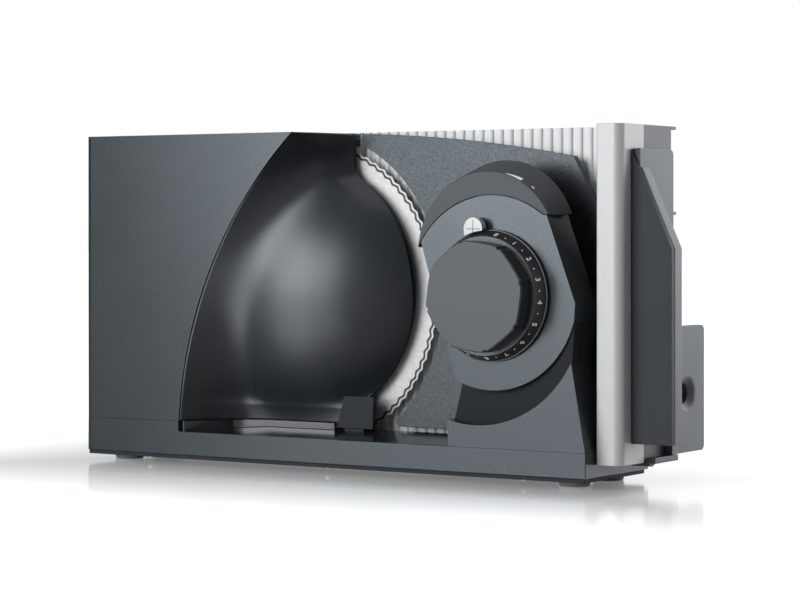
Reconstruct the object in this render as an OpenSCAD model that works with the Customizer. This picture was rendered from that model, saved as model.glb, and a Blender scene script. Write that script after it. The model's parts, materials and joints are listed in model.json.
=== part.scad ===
/* [Base] */
// length of the base along its front edge
base_length = 321; // [300:1:340]
// depth of the base from front to rear
base_depth = 68; // [66:1:80]
// height of the base underside above the table
base_bottom = 5.5; // [5:0.5:8]
// top of the low rim along the front
rim_top = 18.5; // [18:0.5:20]
// height of the seam between base and motor housing
seam_height = 24.2; // [23:0.2:26]
// top of the low deck behind the blade
rear_deck = 13; // [12:0.5:14]
// wall thickness of the cast and moulded shells
wall = 2.5; // [2:0.1:3]
// height of a rubber foot below the bottom cover
foot_height = 3.3; // [2.5:0.1:4.5]
// radius of a rubber foot
foot_radius = 8.5; // [7:0.5:10]

/* [Housing] */
// top of the motor housing
housing_top = 182; // [178:1:190]
// length of the housing along the top
housing_length = 155; // [150:1:158]
// length of the housing along the seam
housing_foot = 66; // [62:1:70]
// radius of the sweeping front edge
sweep_radius = 240; // [230:1:250]
// slope of the swept wall behind that edge, degrees
sweep_slope = 22; // [18:1:24]
// radius of the housing corner
corner_radius = 4; // [2:0.5:6]

/* [Blade] */
// blade radius
blade_radius = 85; // [80:1:88]
// blade axis, distance from the left end
blade_x = 120; // [115:1:125]
// blade axis height
blade_z = 94; // [92:0.5:97]
// cutting plane behind the front face
blade_plane = 48; // [47:0.5:49]
// thickness of the blade disc
blade_thickness = 1.6; // [1.2:0.1:2]
// width of the ground bevel
blade_bevel = 13; // [9:0.5:16]
// waves around the cutting edge
blade_waves = 72; // [48:1:96]
// depth of a wave
wave_depth = 1; // [0.5:0.1:1.5]
// radius of the domed gear cover at its rim
dome_radius = 71.4; // [68:0.1:74]
// how far the dome stands out of its rim plane
dome_rise = 31.4; // [28:0.2:33]

/* [Dial] */
// dial axis, distance from the right end of the base
dial_inset = 54; // [51:1:59]
// dial axis height
dial_z = 96.2; // [94:0.2:98]
// radius of the grip
grip_radius = 30; // [27:0.5:31]
// notches around the grip
grip_notches = 8; // [6:1:12]
// distance of the grip face in front of the housing face
grip_reach = 19; // [17:0.5:22]
// radius of the marked skirt
skirt_radius = 33.7; // [33:0.1:35]
// radius of the ring that carries the dial
ring_radius = 49.6; // [48.5:0.1:51]
// depth of the dial pedestal
pedestal_depth = 22; // [21:0.5:23]
// full turn of the dial, degrees
dial_turn = 300; // [270:5:320]
// thickness range set by the dial
slice_range = 15; // [12:0.5:15]

/* [Stop plate] */
// thickness of the stop plate
stop_thickness = 4.2; // [3.6:0.2:5]
// gap between blade edge and stop plate
stop_gap = 5.4; // [4:0.2:7]
// lower edge of the stop plate
stop_bottom = 23.2; // [22.4:0.2:24]
// crown radius of its upper edge
stop_crown_radius = 917; // [700:1:1100]

/* [Carriage] */
// height of the hinge the carriage folds on
hinge_z = 25.8; // [25.5:0.1:26.4]
// distance of that hinge behind the base
hinge_setback = 4; // [3.5:0.1:4.5]
// rib tips of the carriage behind the front face
rib_y = 53.5; // [53:0.1:54]
// left end of the carriage
carriage_left = 140; // [136:1:150]
// top of the carriage when folded
carriage_top = 183; // [178:1:188]
// lower edge of the carriage plate when folded
carriage_foot = 14; // [14:0.2:15]
// rib spacing
rib_pitch = 6; // [5:0.5:8]
// thickness of the end wall
end_wall_thickness = 13.9; // [10:0.1:16]
// nose of the end wall behind the front face
end_wall_nose = 10; // [8:0.5:14]
// depth of the bright part of the end wall
end_wall_depth = 25; // [22:0.5:28]

/* [Holder] */
// thickness of the holder panel
panel_thickness = 4; // [3:0.2:5]
// front of the holder behind the front face
holder_y = 20.5; // [18:0.5:24]
// depth of the hollow hand guard
guard_depth = 12; // [9:0.5:14]
// reach of the hand guard off the panel
guard_reach = 18.3; // [15:0.1:22]
// radius of the thumb hole
thumb_radius = 5.2; // [4.5:0.1:6]

/* [Clearances] */
// gap between parts that move past each other
move_gap = 0.4; // [0.3:0.05:0.6]
// running clearance of a shaft in its bore
run_gap = 0.05; // [0.02:0.01:0.08]
// seam between fixed covers
seam_gap = 0.2; // [0.1:0.05:0.3]

/* [Hidden] */
$fn = 64;
paint_grey = [0.27, 0.28, 0.30];
satin_black = [0.05, 0.05, 0.055];
dark_grey = [0.16, 0.17, 0.18];
silver = [0.80, 0.81, 0.82];
steel = [0.70, 0.71, 0.72];
rubber_black = [0.06, 0.06, 0.06];
brass_yellow = [0.72, 0.58, 0.30];
gear_white = [0.85, 0.84, 0.80];
light_grey = [0.72, 0.73, 0.74];
board_green = [0.10, 0.30, 0.18];

/* places that follow the base */
dial_x = base_length - dial_inset;
hinge_y = base_depth + hinge_setback;

/* right-hand limits of the object and the shift that centres it over the origin */
side_gap = 0.6;
wall_x0 = base_length + side_gap;
wall_x1 = wall_x0 + end_wall_thickness;
panel_x0 = wall_x1 + move_gap;
panel_x1 = panel_x0 + panel_thickness;
guard_x1 = panel_x1 + guard_reach;
panel_rear = 95;
frame_x = guard_x1 / 2;
frame_y = (panel_rear - grip_reach) / 2;

/* housing and gear case */
cover_thickness = 2.2;
cover_inset = 1.5;
tray_thickness = 2;
tray_level = rim_top - 1.2;
tray_rise = 3.6;
tray_end = dial_x - 30;
deck_end = 46.5;
tray_back = 44.5;
shelf_x = blade_x + 25;
shelf_knee_y = 28;
shelf_back_y = 37;
plate_front = 41.5;
plate_rear = 44;
shield_front = 33;
shield_thickness = 2.6;
shield_low = tray_level + 4.6;
shield_high = tray_level + 22;
sweep_x = housing_foot + 258.7;
sweep_z = seam_height - 12.5;
dome_z = blade_z + 1.8;
dome_rim = plate_front - seam_gap;
dome_x = blade_x + 3.3;
gear_room = 62.5;
dome_sphere = (dome_radius * dome_radius + dome_rise * dome_rise) / (2 * dome_rise);
dome_y = dome_rim - dome_rise + dome_sphere;
dome_inner = dome_sphere - wall;
tab_x = housing_length;
fillet_radius = 15;
fillet_x = tab_x + fillet_radius;
fillet_dx = fillet_x - dome_x;
fillet_reach = dome_radius + fillet_radius;
fillet_z = dome_z + sqrt(fillet_reach * fillet_reach - fillet_dx * fillet_dx);

/* gear train: every stage has the same tooth counts */
wheel_teeth = 48;
pinion_teeth = 12;
blade_module = 1.4;
motor_module = 1;
pressure_angle = 20;
tooth_thinning = 0.16;
blade_centres = blade_module * (wheel_teeth + pinion_teeth) / 2;
motor_centres = motor_module * (wheel_teeth + pinion_teeth) / 2;
idler_angle = 196.7;
motor_angle = 165;
idler_x = blade_x + blade_centres * cos(idler_angle);
idler_z = blade_z + blade_centres * sin(idler_angle);
motor_x = idler_x + motor_centres * cos(motor_angle);
motor_z = idler_z + motor_centres * sin(motor_angle);
wheel_y0 = 24;
wheel_y1 = 31;
motor_gear_y0 = 32.5;
motor_gear_y1 = 37;
motor_y0 = 4;
motor_y1 = 22;
motor_radius = 25;
spindle_radius = 5;
edge_land = 0.2;
edge_margin = 0.6;
idler_pin_radius = 3;
rotor_shaft_radius = 2;
board_left = 18;
board_right = 56;
board_front = 33;
board_rear = 34.6;
board_top = housing_top - 10;
board_foot = board_top - 40;
pinion_setback = 1.2;
wheel_room = 38;
idler_room = 26;
pinion_room = 11;

/* dial, cam and stop plate */
grip_turn = 14;
grip_bulge = 0.7;
grip_back = 9;
grip_mid = grip_radius * cos(180 / grip_notches) + grip_bulge;
grip_arc_shift = (grip_radius * grip_radius - grip_mid * grip_mid) / (2 * grip_bulge);
notch_radius = 2.2;
notch_depth = 1;
ring_x = dial_x - 0.2;
ring_z = dial_z + 1.4;
shaft_radius = 4;
drum_radius = 11;
drum_front = 3;
drum_rear = pedestal_depth + 1.2;
groove_depth = 2.8;
groove_radius = 2.2;
groove_steps = 44;
pin_radius = 1.75;
pin_rest_y = drum_rear - 2.7;
rod_radius = 3;
rod_offset = 25.5;
boss_radius = 5;
boss_front = 8;
boss_rear = blade_plane - stop_thickness - slice_range - move_gap;
rod_front = wall + slice_range + move_gap;
stop_front = blade_plane - stop_thickness;
stop_left = tab_x + 3.5;
stop_corner = 2.5;
stop_right = dial_x + 37;
stop_crown_x = blade_x + 6.6;
stop_crown_z = housing_top + 0.6;
index_dx = -7.7;
index_z = dial_z + 34.4;
index_x = dial_x + index_dx;
index_radius = 5.4;
index_reach = 6;
index_travel = 1.5;
stem_radius = 2.4;
stem_z = index_z + 2.6;
cap_x = dial_x - 3.2;
cap_z = dial_z + 19.8;
cap_radius = 41.6;
cap_tilt = 17;
cap_depth = 20;
cap_foot = dial_z + 41.4;
scoop_x = dial_x - 9.8;
scoop_z = dial_z - 3.2;
scoop_radius = 63.1;
scoop_left = dial_x - 27;
scoop_right = dial_x + 48.2;
scoop_depth = 8;
scoop_lip = 0.8;
scoop_back = 10.5;

/* carriage, slider and holder */
rail_left = 30;
rail_right = base_length - 5;
rail_web_y = base_depth + 3;
rail_head_y = base_depth + 5;
rail_z = base_bottom + 3.7;
rail_web_half = 1;
rail_head_half = 3.6;
slider_length = 72;
slider_right = base_length - 59;
slider_left = slider_right - slider_length;
slider_top = hinge_z - 7.2;
lug_width = 8;
lug_radius = 5;
hinge_pin_radius = 2.5;
knuckle_width = 8;
rib_radius = 1.7;
frame_panel_y0 = rib_y + 3.5;
frame_panel_y1 = frame_panel_y0 + 3;
frame_rear = base_depth + 2;
cheek_rear = frame_rear - 3.6;
flange_rear = frame_rear + 2;
flange_thickness = 1.6;
middle_rib_z = 137.4;
end_wall_back = end_wall_nose + end_wall_depth;
end_wall_foot = 12;
frame_sill = hinge_z + 6.2;
ledge_top = 14.2;
ledge_rear = frame_rear - 5;
panel_heel = ledge_rear - 7;
panel_foot = ledge_top + 0.3;
panel_top = 170.6;
panel_step = 80;
panel_upper = 59.5;
panel_round = 3;
thumb_y = 75;
thumb_z = 45;
guard_foot = 22.6;
guard_knee = 120.3;
guard_peak = 165.5;
guard_split = holder_y + 4;
guard_wall = 2;
panel_front = holder_y + guard_wall;
collar_length = 5;
collar_wall = 1.4;

function involute(ratio) = sqrt(ratio * ratio - 1) * 180 / PI - acos(1 / ratio);
function flank_half(r, teeth, pitch) =
    let (base_r = pitch * cos(pressure_angle))
    90 / teeth + involute(1 / cos(pressure_angle)) - involute(max(1, r / base_r))
    - tooth_thinning / pitch * 180 / PI;
function polar(r, angle) = [r * cos(angle), r * sin(angle)];

/* everything is drawn from the front left corner of the base and then centred */
module in_frame() {
    translate([-frame_x, -frame_y, 0]) children();
}

module box(x0, x1, y0, y1, z0, z1) {
    translate([x0, y0, z0]) cube([x1 - x0, y1 - y0, z1 - z0]);
}

module slab(y0, y1) {
    translate([0, y1, 0]) rotate([90, 0, 0]) linear_extrude(height = y1 - y0) children();
}

module side_slab(x0, x1) {
    translate([x0, 0, 0]) rotate([90, 0, 90]) linear_extrude(height = x1 - x0) children();
}

module plan_slab(z0, z1) {
    translate([0, 0, z0]) linear_extrude(height = z1 - z0) children();
}

module disc_at(x, z, r) {
    translate([x, z]) circle(r = r);
}

module ycyl(x, z, r, y0, y1) {
    translate([x, y0, z]) rotate([-90, 0, 0]) cylinder(r = r, h = y1 - y0);
}

module ycone(x, z, r0, r1, y0, y1) {
    translate([x, y0, z]) rotate([-90, 0, 0]) cylinder(r1 = r0, r2 = r1, h = y1 - y0);
}

module xcyl(y, z, r, x0, x1) {
    translate([x0, y, z]) rotate([0, 90, 0]) cylinder(r = r, h = x1 - x0);
}

module zcyl(x, y, r, z0, z1) {
    translate([x, y, z0]) cylinder(r = r, h = z1 - z0);
}

/* the sloping cylinder whose wall is the swept flank beside the dome */
module sweep(extra) {
    translate([sweep_x, 0, sweep_z]) rotate([0, 0, -sweep_slope]) rotate([-90, 0, 0])
        translate([0, 0, -180]) cylinder(r = sweep_radius + extra, h = 360, $fn = 256);
}

module dome_ball(r) {
    translate([dome_x, dome_y, dome_z]) sphere(r = r, $fn = 96);
}

module gear_outline(teeth, module_size) {
    pitch = module_size * teeth / 2;
    radii = [pitch - 1.2 * module_size, pitch - 0.45 * module_size,
        pitch + 0.25 * module_size, pitch + 0.85 * module_size];
    polygon([for (i = [0 : teeth - 1]) for (k = [0 : 7])
        let (r = radii[k < 4 ? k : 7 - k], side = k < 4 ? -1 : 1)
        polar(r, i * 360 / teeth + side * flank_half(r, teeth, pitch))]);
}

/* a gear with one tooth centred on the given angle */
module gear(x, z, teeth, module_size, tooth_angle, bore, y0, y1) {
    slab(y0, y1) translate([x, z]) difference() {
        rotate(tooth_angle) gear_outline(teeth, module_size);
        circle(r = bore);
    }
}

module screw(x, z, r, y0, y1, head) {
    ycyl(x, z, r, y0, y1 - head);
    ycyl(x, z, r * 1.9, y1 - head, y1);
}

module base() color(paint_grey) in_frame() difference() {
    union() {
        plan_slab(base_bottom, rim_top) deck_plan(deck_end);
        plan_slab(base_bottom, rear_deck) deck_plan(base_depth);
        intersection() {
            plan_slab(base_bottom, seam_height) deck_plan(deck_end);
            box(-1, housing_foot, -1, deck_end, 0, seam_height);
        }
    }
    box(wall, base_length - wall, wall, base_depth - wall, 0, rear_deck - wall);
    box(wall, housing_foot - wall, wall, deck_end - wall, 0, seam_height - wall);
    box(housing_foot, tray_end, wall, deck_end + 1, tray_level - tray_thickness, seam_height);
    ycyl(blade_x, blade_z, blade_radius + 3, tray_back, blade_plane + 1.6);
}

module deck_plan(depth) {
    translate([corner_radius, 0]) square([base_length - corner_radius, depth]);
    translate([0, corner_radius]) square([base_length, depth - corner_radius]);
    translate([corner_radius, corner_radius]) circle(r = corner_radius);
}

module bottom_cover() color(dark_grey) in_frame() difference() {
    box(cover_inset, base_length - cover_inset, cover_inset, base_depth - cover_inset,
        base_bottom - cover_thickness, base_bottom);
    foot_places() cylinder(r = 3, h = 20);
}

module foot_places() {
    for (x = [16, base_length - 17]) for (y = [20, base_depth - 12]) translate([x, y, 0]) children();
}

module feet() color(rubber_black) in_frame() foot_places() {
    cylinder(r1 = foot_radius - 0.8, r2 = foot_radius, h = foot_height);
    cylinder(r = 3, h = base_bottom + 1.5);
}

module tray() color(satin_black) in_frame() {
    tray_wedge();
    plan_slab(tray_level - tray_thickness, seam_height)
        polygon([[housing_foot + seam_gap, wall + seam_gap], [housing_foot + 2, wall + seam_gap],
            [housing_foot + 17, shelf_knee_y], [housing_foot + 35, shelf_back_y], [shelf_x, shelf_back_y],
            [shelf_x, plate_front - seam_gap], [housing_foot + seam_gap, plate_front - seam_gap]]);
}

/* the tray's plate, which rises towards the rear */
module tray_wedge() {
    y0 = wall + seam_gap;
    y1 = tray_back - seam_gap;
    side_slab(housing_foot + seam_gap, tray_end - seam_gap)
        polygon([[y0, tray_level - tray_thickness], [y1, tray_level - tray_thickness],
            [y1, tray_level + tray_rise], [y0, tray_level]]);
}

module housing_plan() {
    translate([corner_radius, 0]) square([tab_x - corner_radius, blade_plane]);
    translate([0, corner_radius]) square([tab_x, blade_plane - corner_radius]);
    translate([corner_radius, corner_radius]) circle(r = corner_radius);
}

module motor_housing() color(paint_grey) in_frame() difference() {
    plan_slab(seam_height, housing_top) housing_plan();
    box(wall, tab_x + 1, wall, blade_plane + 1, seam_height + wall, housing_top - wall);
    box(housing_foot - 3, tab_x + 1, wall, blade_plane + 1, 0, seam_height + wall + 1);
    sweep(0);
    intersection() {
        sweep(wall + seam_gap);
        box(wall, tab_x + 1, wall, plate_front, 0, housing_top + 1);
    }
}

module rear_outline() {
    translate([wall + seam_gap, seam_height + wall + seam_gap])
        square([tab_x - wall - 2 * seam_gap, housing_top - seam_height - 2 * wall - 2 * seam_gap]);
}

module rear_plate() color(dark_grey) in_frame() difference() {
    union() {
        slab(plate_front, plate_rear) {
            rear_outline();
            disc_at(dome_x, dome_z, dome_radius - 1);
        }
        slab(plate_rear - 1, blade_plane) difference() {
            rear_outline();
            disc_at(blade_x, blade_z, blade_radius + 3);
        }
        ycyl(blade_x, blade_z, 13, plate_front - 3.7, plate_rear);
    }
    ycyl(blade_x, blade_z, 9, 0, 60);
    ycyl(idler_x, idler_z, idler_pin_radius, 0, 60);
    screw_places() ycyl(0, 0, 2, 0, 60);
    ycyl(16, 44, 6, 0, 60);
}

module screw_places() {
    for (p = [[12, housing_top - 12], [12, seam_height + 60], [housing_foot, housing_top - 9]])
        translate([p[0], 0, p[1]]) children();
}

module housing_screws() color(steel) in_frame() screw_places()
    screw(0, 0, 2, plate_front - 6, blade_plane + 1.2, 1.2);

module cover_outline() {
    difference() {
        union() {
            translate([0, seam_height + seam_gap])
                square([tab_x - seam_gap, housing_top - seam_height - seam_gap]);
            intersection() {
                disc_at(dome_x, dome_z, dome_radius);
                translate([0, seam_height + seam_gap]) square([300, 200]);
            }
            polygon([[dome_x, dome_z], [tab_x - seam_gap, fillet_z],
                [dome_x + fillet_dx * dome_radius / fillet_reach,
                dome_z + (fillet_z - dome_z) * dome_radius / fillet_reach]]);
        }
        disc_at(fillet_x, fillet_z, fillet_radius + seam_gap);
    }
}

module gear_cover() color(satin_black) in_frame() {
    difference() {
        intersection() {
            sweep(wall);
            box(0, tab_x - seam_gap, wall + seam_gap, dome_rim, seam_height + seam_gap, housing_top);
        }
        sweep(0);
        ycyl(blade_x, blade_z, wheel_room, wheel_y0 - 2, dome_rim + 1);
        ycyl(idler_x, idler_z, pinion_room, wheel_y0 - 2, dome_rim + 1);
        ycyl(idler_x, idler_z, idler_room, motor_gear_y0 - 1, dome_rim + 1);
    }
    difference() {
        intersection() {
            slab(dome_rim - wall, dome_rim) cover_outline();
            sweep(wall);
        }
        ycyl(dome_x, dome_z, gear_room, 0, dome_rim + 1);
    }
    difference() {
        intersection() {
            dome_ball(dome_sphere);
            box(0, base_length, 0, dome_rim, seam_height + seam_gap, housing_top);
            sweep(wall / 2);
        }
        dome_ball(dome_inner);
    }
}

module blade_guard() color(dark_grey) in_frame() difference() {
    union() {
        slab(shield_front, shield_front + shield_thickness)
            polygon([[blade_x + 29, shield_low], [blade_x + 52.5, shield_low],
                [blade_x + 53.2, shield_high], [blade_x + 34, shield_high]]);
        box(blade_x + 34, blade_x + 46, shield_front + 1, plate_rear, tray_level, shield_high);
    }
    tray_wedge();
    dome_ball(dome_sphere + seam_gap);
    ycyl(dome_x, dome_z, dome_radius + seam_gap, dome_rim - wall - seam_gap, 60);
    box(0, tab_x, dome_rim - wall - seam_gap, 60, 0, 200);
}

module motor_can() color(steel) in_frame() difference() {
    ycyl(motor_x, motor_z, motor_radius, motor_y0, motor_y1);
    ycyl(motor_x, motor_z, motor_radius - 2, motor_y0 + 2, motor_y1 - 2);
    ycyl(motor_x, motor_z, rotor_shaft_radius + run_gap, motor_y0 + 1, 60);
}

module motor_magnets() color(dark_grey) in_frame() difference() {
    ycyl(motor_x, motor_z, motor_radius - 2, motor_y0 + 4, motor_y1 - 4);
    ycyl(motor_x, motor_z, motor_radius - 6, 0, 60);
}

module motor_posts() color(steel) in_frame() {
    for (a = [120, 180, 240])
        ycyl(motor_x + (motor_radius - 4) * cos(a), motor_z + (motor_radius - 4) * sin(a), 3,
            motor_y1, plate_front);
}

module motor_rotor() color(brass_yellow) in_frame() {
    ycyl(motor_x, motor_z, motor_radius - 7, motor_y0 + 4, motor_y1 - 4);
    ycyl(motor_x, motor_z, rotor_shaft_radius, motor_y0 + 1.2, motor_gear_y1 + 1.5);
}

module motor_pinion() color(brass_yellow) in_frame()
    gear(motor_x, motor_z, pinion_teeth, motor_module, motor_angle + 180 / pinion_teeth,
        rotor_shaft_radius, motor_gear_y0 - 0.5, motor_gear_y1 + 0.5);

module idler_pin() color(steel) in_frame()
    ycyl(idler_x, idler_z, idler_pin_radius, motor_y1 + 0.4, plate_rear);

module idler_gear() color(gear_white) in_frame() {
    gear(idler_x, idler_z, wheel_teeth, motor_module, motor_angle, idler_pin_radius + run_gap,
        motor_gear_y0, motor_gear_y1);
    gear(idler_x, idler_z, pinion_teeth, blade_module, idler_angle + 180 / pinion_teeth,
        idler_pin_radius + run_gap, wheel_y0 + pinion_setback, motor_gear_y0);
}

module blade_gear() color(gear_white) in_frame()
    gear(blade_x, blade_z, wheel_teeth, blade_module, idler_angle, spindle_radius, wheel_y0, wheel_y1);

module spindle_bush() color(brass_yellow) in_frame() difference() {
    ycyl(blade_x, blade_z, 9, plate_front - 6, plate_rear);
    ycyl(blade_x, blade_z, spindle_radius + run_gap, 0, 60);
}

module blade_spindle() color(steel) in_frame() {
    ycyl(blade_x, blade_z, spindle_radius, wheel_y0 - 1, blade_plane - blade_thickness);
    ycyl(blade_x, blade_z, 22, plate_rear + move_gap, blade_plane - blade_thickness);
    ycyl(blade_x, blade_z, spindle_radius + 2, wheel_y1, plate_front - 6 - move_gap);
}

module wave_outline() {
    polygon([for (i = [0 : blade_waves * 4 - 1])
        polar(blade_radius - wave_depth / 2 * (1 + cos(i * 90)), i * 90 / blade_waves)]);
}

module blade() color(steel) in_frame() difference() {
    intersection() {
        slab(blade_plane - blade_thickness, blade_plane) translate([blade_x, blade_z]) wave_outline();
        union() {
            ycone(blade_x, blade_z, blade_radius - blade_bevel, blade_radius + edge_margin,
                blade_plane - blade_thickness, blade_plane - edge_land);
            ycyl(blade_x, blade_z, blade_radius + edge_margin, blade_plane - edge_land, blade_plane);
        }
    }
    blade_screw_places() ycyl(0, 0, 2.2, 0, 60);
}

module blade_screw_places() {
    for (a = [90, 210, 330]) translate([blade_x + 15 * cos(a), 0, blade_z + 15 * sin(a)]) children();
}

module blade_screws() color(steel) in_frame() blade_screw_places() {
    ycyl(0, 0, 2.2, blade_plane - blade_thickness, blade_plane);
    ycone(0, 0, 4.5, 3.6, blade_plane, blade_plane + 1.4);
}

module circuit_board() color(board_green) in_frame() {
    box(board_left, board_right, board_front, board_rear, board_foot, board_top);
    box(board_left + 2, board_left + 14, board_front - 13, board_front, board_foot + 8, board_foot + 20);
    ycyl(board_left + 24, board_foot + 14, 6, board_front - 15, board_front);
    box(board_left + 12, board_left + 30, board_front - 11, board_front, board_foot + 24, board_foot + 36);
    for (x = [board_left + 4, board_right - 4]) for (z = [board_foot + 4, board_top - 4])
        ycyl(x, z, 1.5, board_rear, plate_front);
}

module cord_inlet() color(rubber_black) in_frame() difference() {
    union() {
        ycyl(16, 44, 6, plate_front - 4, blade_plane + 1);
        ycyl(16, 44, 8.5, blade_plane, blade_plane + 3);
    }
    ycyl(16, 44, 3.5, 0, 80);
}

module rail() color(steel) in_frame() {
    box(rail_left, rail_right, base_depth, rail_head_y - 1, rail_z - rail_web_half, rail_z + rail_web_half);
    box(rail_left, rail_right, rail_web_y, rail_head_y, rail_z - rail_head_half, rail_z + rail_head_half);
}

module base_screws() color(steel) in_frame() {
    for (x = [40, base_length / 2, base_length - 40]) for (y = [10, base_depth - 9])
        zcyl(x, y, 3, base_bottom - cover_thickness - 0.8, base_bottom - cover_thickness);
}

module pedestal_outline(inset) {
    intersection() {
        polygon([[dial_x - 26 + inset, rim_top - inset], [scoop_left + inset, dial_z - 63.9],
            [dial_x - 21.4 + inset, dial_z - 43.7], [dial_x - 44.8 + inset, dial_z + 34.4],
            [dial_x - 44.8 + inset, dial_z + 60], [dial_x + 24 - inset, dial_z + 60],
            [dial_x + 32 - inset, dial_z + 40.7 - inset], [scoop_right - inset, dial_z - 3.2],
            [dial_x + 45.9 - inset, dial_z - 33.1], [base_length - 0.3 - inset, rim_top - inset]]);
        union() {
            disc_at(ring_x, ring_z, ring_radius - inset);
            translate([dial_x - 80, 0]) square([160, dial_z + 10]);
            translate([dial_x, 0]) square([80, dial_z + 41 - inset]);
        }
    }
}

module scoop_outline() {
    difference() {
        intersection() {
            disc_at(scoop_x, scoop_z, scoop_radius);
            pedestal_outline(0);
            translate([dial_x - 60, 0]) square([120, dial_z - 5]);
        }
        disc_at(ring_x, ring_z, ring_radius);
    }
}

module pedestal() color(paint_grey) in_frame() difference() {
    slab(0, pedestal_depth) pedestal_outline(0);
    difference() {
        slab(wall, pedestal_depth + 1) pedestal_outline(wall);
        slab(0, scoop_back + 2) difference() {
            disc_at(scoop_x, scoop_z, scoop_radius + wall);
            disc_at(ring_x, ring_z, ring_radius - wall);
            translate([dial_x - 90, dial_z - 2]) square([180, 100]);
        }
    }
    slab(-1, scoop_back) scoop_outline();
    ycyl(dial_x, dial_z, shaft_radius + run_gap, -1, 10);
    ycyl(index_x, stem_z, stem_radius + run_gap, -1, 10);
}

/* the floor of the scoop, deep on the left and nearly flush on the right */
module pedestal_scoop() color(dark_grey) in_frame() intersection() {
    slab(0, scoop_back) scoop_outline();
    plan_slab(0, dial_z) polygon([[scoop_left, scoop_depth], [scoop_right, scoop_lip],
        [scoop_right, scoop_back], [scoop_left, scoop_back]]);
}

module pedestal_back() color(dark_grey) in_frame() difference() {
    union() {
        slab(pedestal_depth - wall, pedestal_depth) intersection() {
            pedestal_outline(wall + seam_gap);
            translate([0, rim_top]) square([base_length, carriage_top]);
        }
        for (s = [-1, 1]) ycyl(dial_x + s * rod_offset, dial_z, boss_radius, boss_front, boss_rear);
    }
    ycyl(dial_x, dial_z, drum_radius + move_gap, 0, 60);
    box(dial_x - 5, dial_x + 5, 0, 60, dial_z - 19, dial_z - 8);
    for (s = [-1, 1]) ycyl(dial_x + s * rod_offset, dial_z, rod_radius + run_gap, 0, 60);
}

module micro_switch() color(satin_black) in_frame() {
    box(dial_x + 6, dial_x + 24, 8, pedestal_depth - wall, dial_z + 30, dial_z + 39);
    box(dial_x + 10, dial_x + 14, 5.5, 8, dial_z + 33, dial_z + 36);
}

/* flats that bulge slightly, with a small notch at each corner */
module grip_outline() {
    difference() {
        intersection_for (i = [0 : grip_notches - 1]) rotate(grip_turn + (i + 0.5) * 360 / grip_notches)
            translate([-grip_arc_shift, 0]) circle(r = grip_mid + grip_arc_shift);
        for (i = [0 : grip_notches - 1]) rotate(grip_turn + i * 360 / grip_notches)
            translate([grip_radius + notch_radius - notch_depth, 0]) circle(r = notch_radius);
    }
}

module dial_grip() color(dark_grey) in_frame() difference() {
    slab(-grip_reach, -grip_back) translate([dial_x, dial_z]) grip_outline();
    ycyl(dial_x, dial_z, grip_radius - 6, wall - grip_reach, 0);
}

module dial_skirt() color(satin_black) in_frame() difference() {
    union() {
        ycyl(dial_x, dial_z, skirt_radius, -2.2, -0.6);
        ycone(dial_x, dial_z, grip_radius + 0.4, skirt_radius - 0.7, -grip_back, -2.2);
        ycyl(dial_x, dial_z, shaft_radius + 4, wall - grip_reach, -2.2);
    }
    difference() {
        ycyl(dial_x, dial_z, grip_radius - 6, -grip_back - 1, -3);
        ycyl(dial_x, dial_z, shaft_radius + 4, -20, 0);
    }
    ycyl(dial_x, dial_z, shaft_radius, -14, 10);
}

module dial_shaft() color(steel) in_frame() difference() {
    union() {
        ycyl(dial_x, dial_z, shaft_radius, -14, drum_rear);
        ycyl(dial_x, dial_z, drum_radius, drum_front, drum_rear);
    }
    for (i = [0 : groove_steps]) translate([dial_x, pin_rest_y - slice_range * i / groove_steps, dial_z])
        rotate([0, -(-90 - dial_turn * i / groove_steps), 0]) rotate([0, 90, 0])
            translate([0, 0, drum_radius - groove_depth]) cylinder(r = groove_radius, h = 6, $fn = 32);
}

/* the plate beside the blade, with a round corner between its bottom and the blade's arc */
module stop_outline() {
    arc_radius = blade_radius + stop_gap;
    corner_z = stop_bottom + stop_corner;
    corner_reach = sqrt((arc_radius + stop_corner) ^ 2 - (blade_z - corner_z) ^ 2);
    corner_x = blade_x + corner_reach;
    share = arc_radius / (arc_radius + stop_corner);
    difference() {
        intersection() {
            polygon([[stop_left, stop_bottom], [stop_right, stop_bottom], [stop_right, dial_z + 46.8],
                [dial_x + 23.4, dial_z + 71.4], [dial_x + 23.4, dial_z + 100], [stop_left, dial_z + 100]]);
            translate([stop_crown_x, stop_crown_z - stop_crown_radius])
                circle(r = stop_crown_radius, $fn = 1440);
        }
        disc_at(blade_x, blade_z, arc_radius);
        polygon([[stop_left, 0], [corner_x, 0], [corner_x, corner_z],
            [blade_x + share * corner_reach, blade_z - share * (blade_z - corner_z)], [stop_left, corner_z]]);
    }
    disc_at(corner_x, corner_z, stop_corner);
}

module stop_plate() color(paint_grey) in_frame()
    slab(stop_front, blade_plane) stop_outline();

module guide_rods() color(steel) in_frame() {
    for (s = [-1, 1]) ycyl(dial_x + s * rod_offset, dial_z, rod_radius, rod_front, stop_front);
}

module cam_follower() color(steel) in_frame() {
    box(dial_x - 4, dial_x + 4, pin_rest_y - 2.3, stop_front, dial_z - 17.5, dial_z - drum_radius - 1.2);
    zcyl(dial_x, pin_rest_y, pin_radius, dial_z - drum_radius - 1.2, dial_z - drum_radius + 2.2);
}

module index_button() color(light_grey) in_frame() {
    difference() {
        union() {
            ycyl(index_x, index_z, index_radius, -index_reach, -index_travel - 0.2);
            box(index_x - index_radius, index_x + index_radius, -index_reach, -index_travel - 0.2,
                index_z - 6, index_z);
        }
        ycyl(dial_x, dial_z, skirt_radius + move_gap, -2.4 - index_travel, 0);
        ycone(dial_x, dial_z, grip_radius + 1.4, skirt_radius + 0.7, -grip_back, -2.2 - index_travel);
    }
    ycyl(index_x, stem_z, stem_radius, -index_travel - 1, wall + 8);
}

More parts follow.
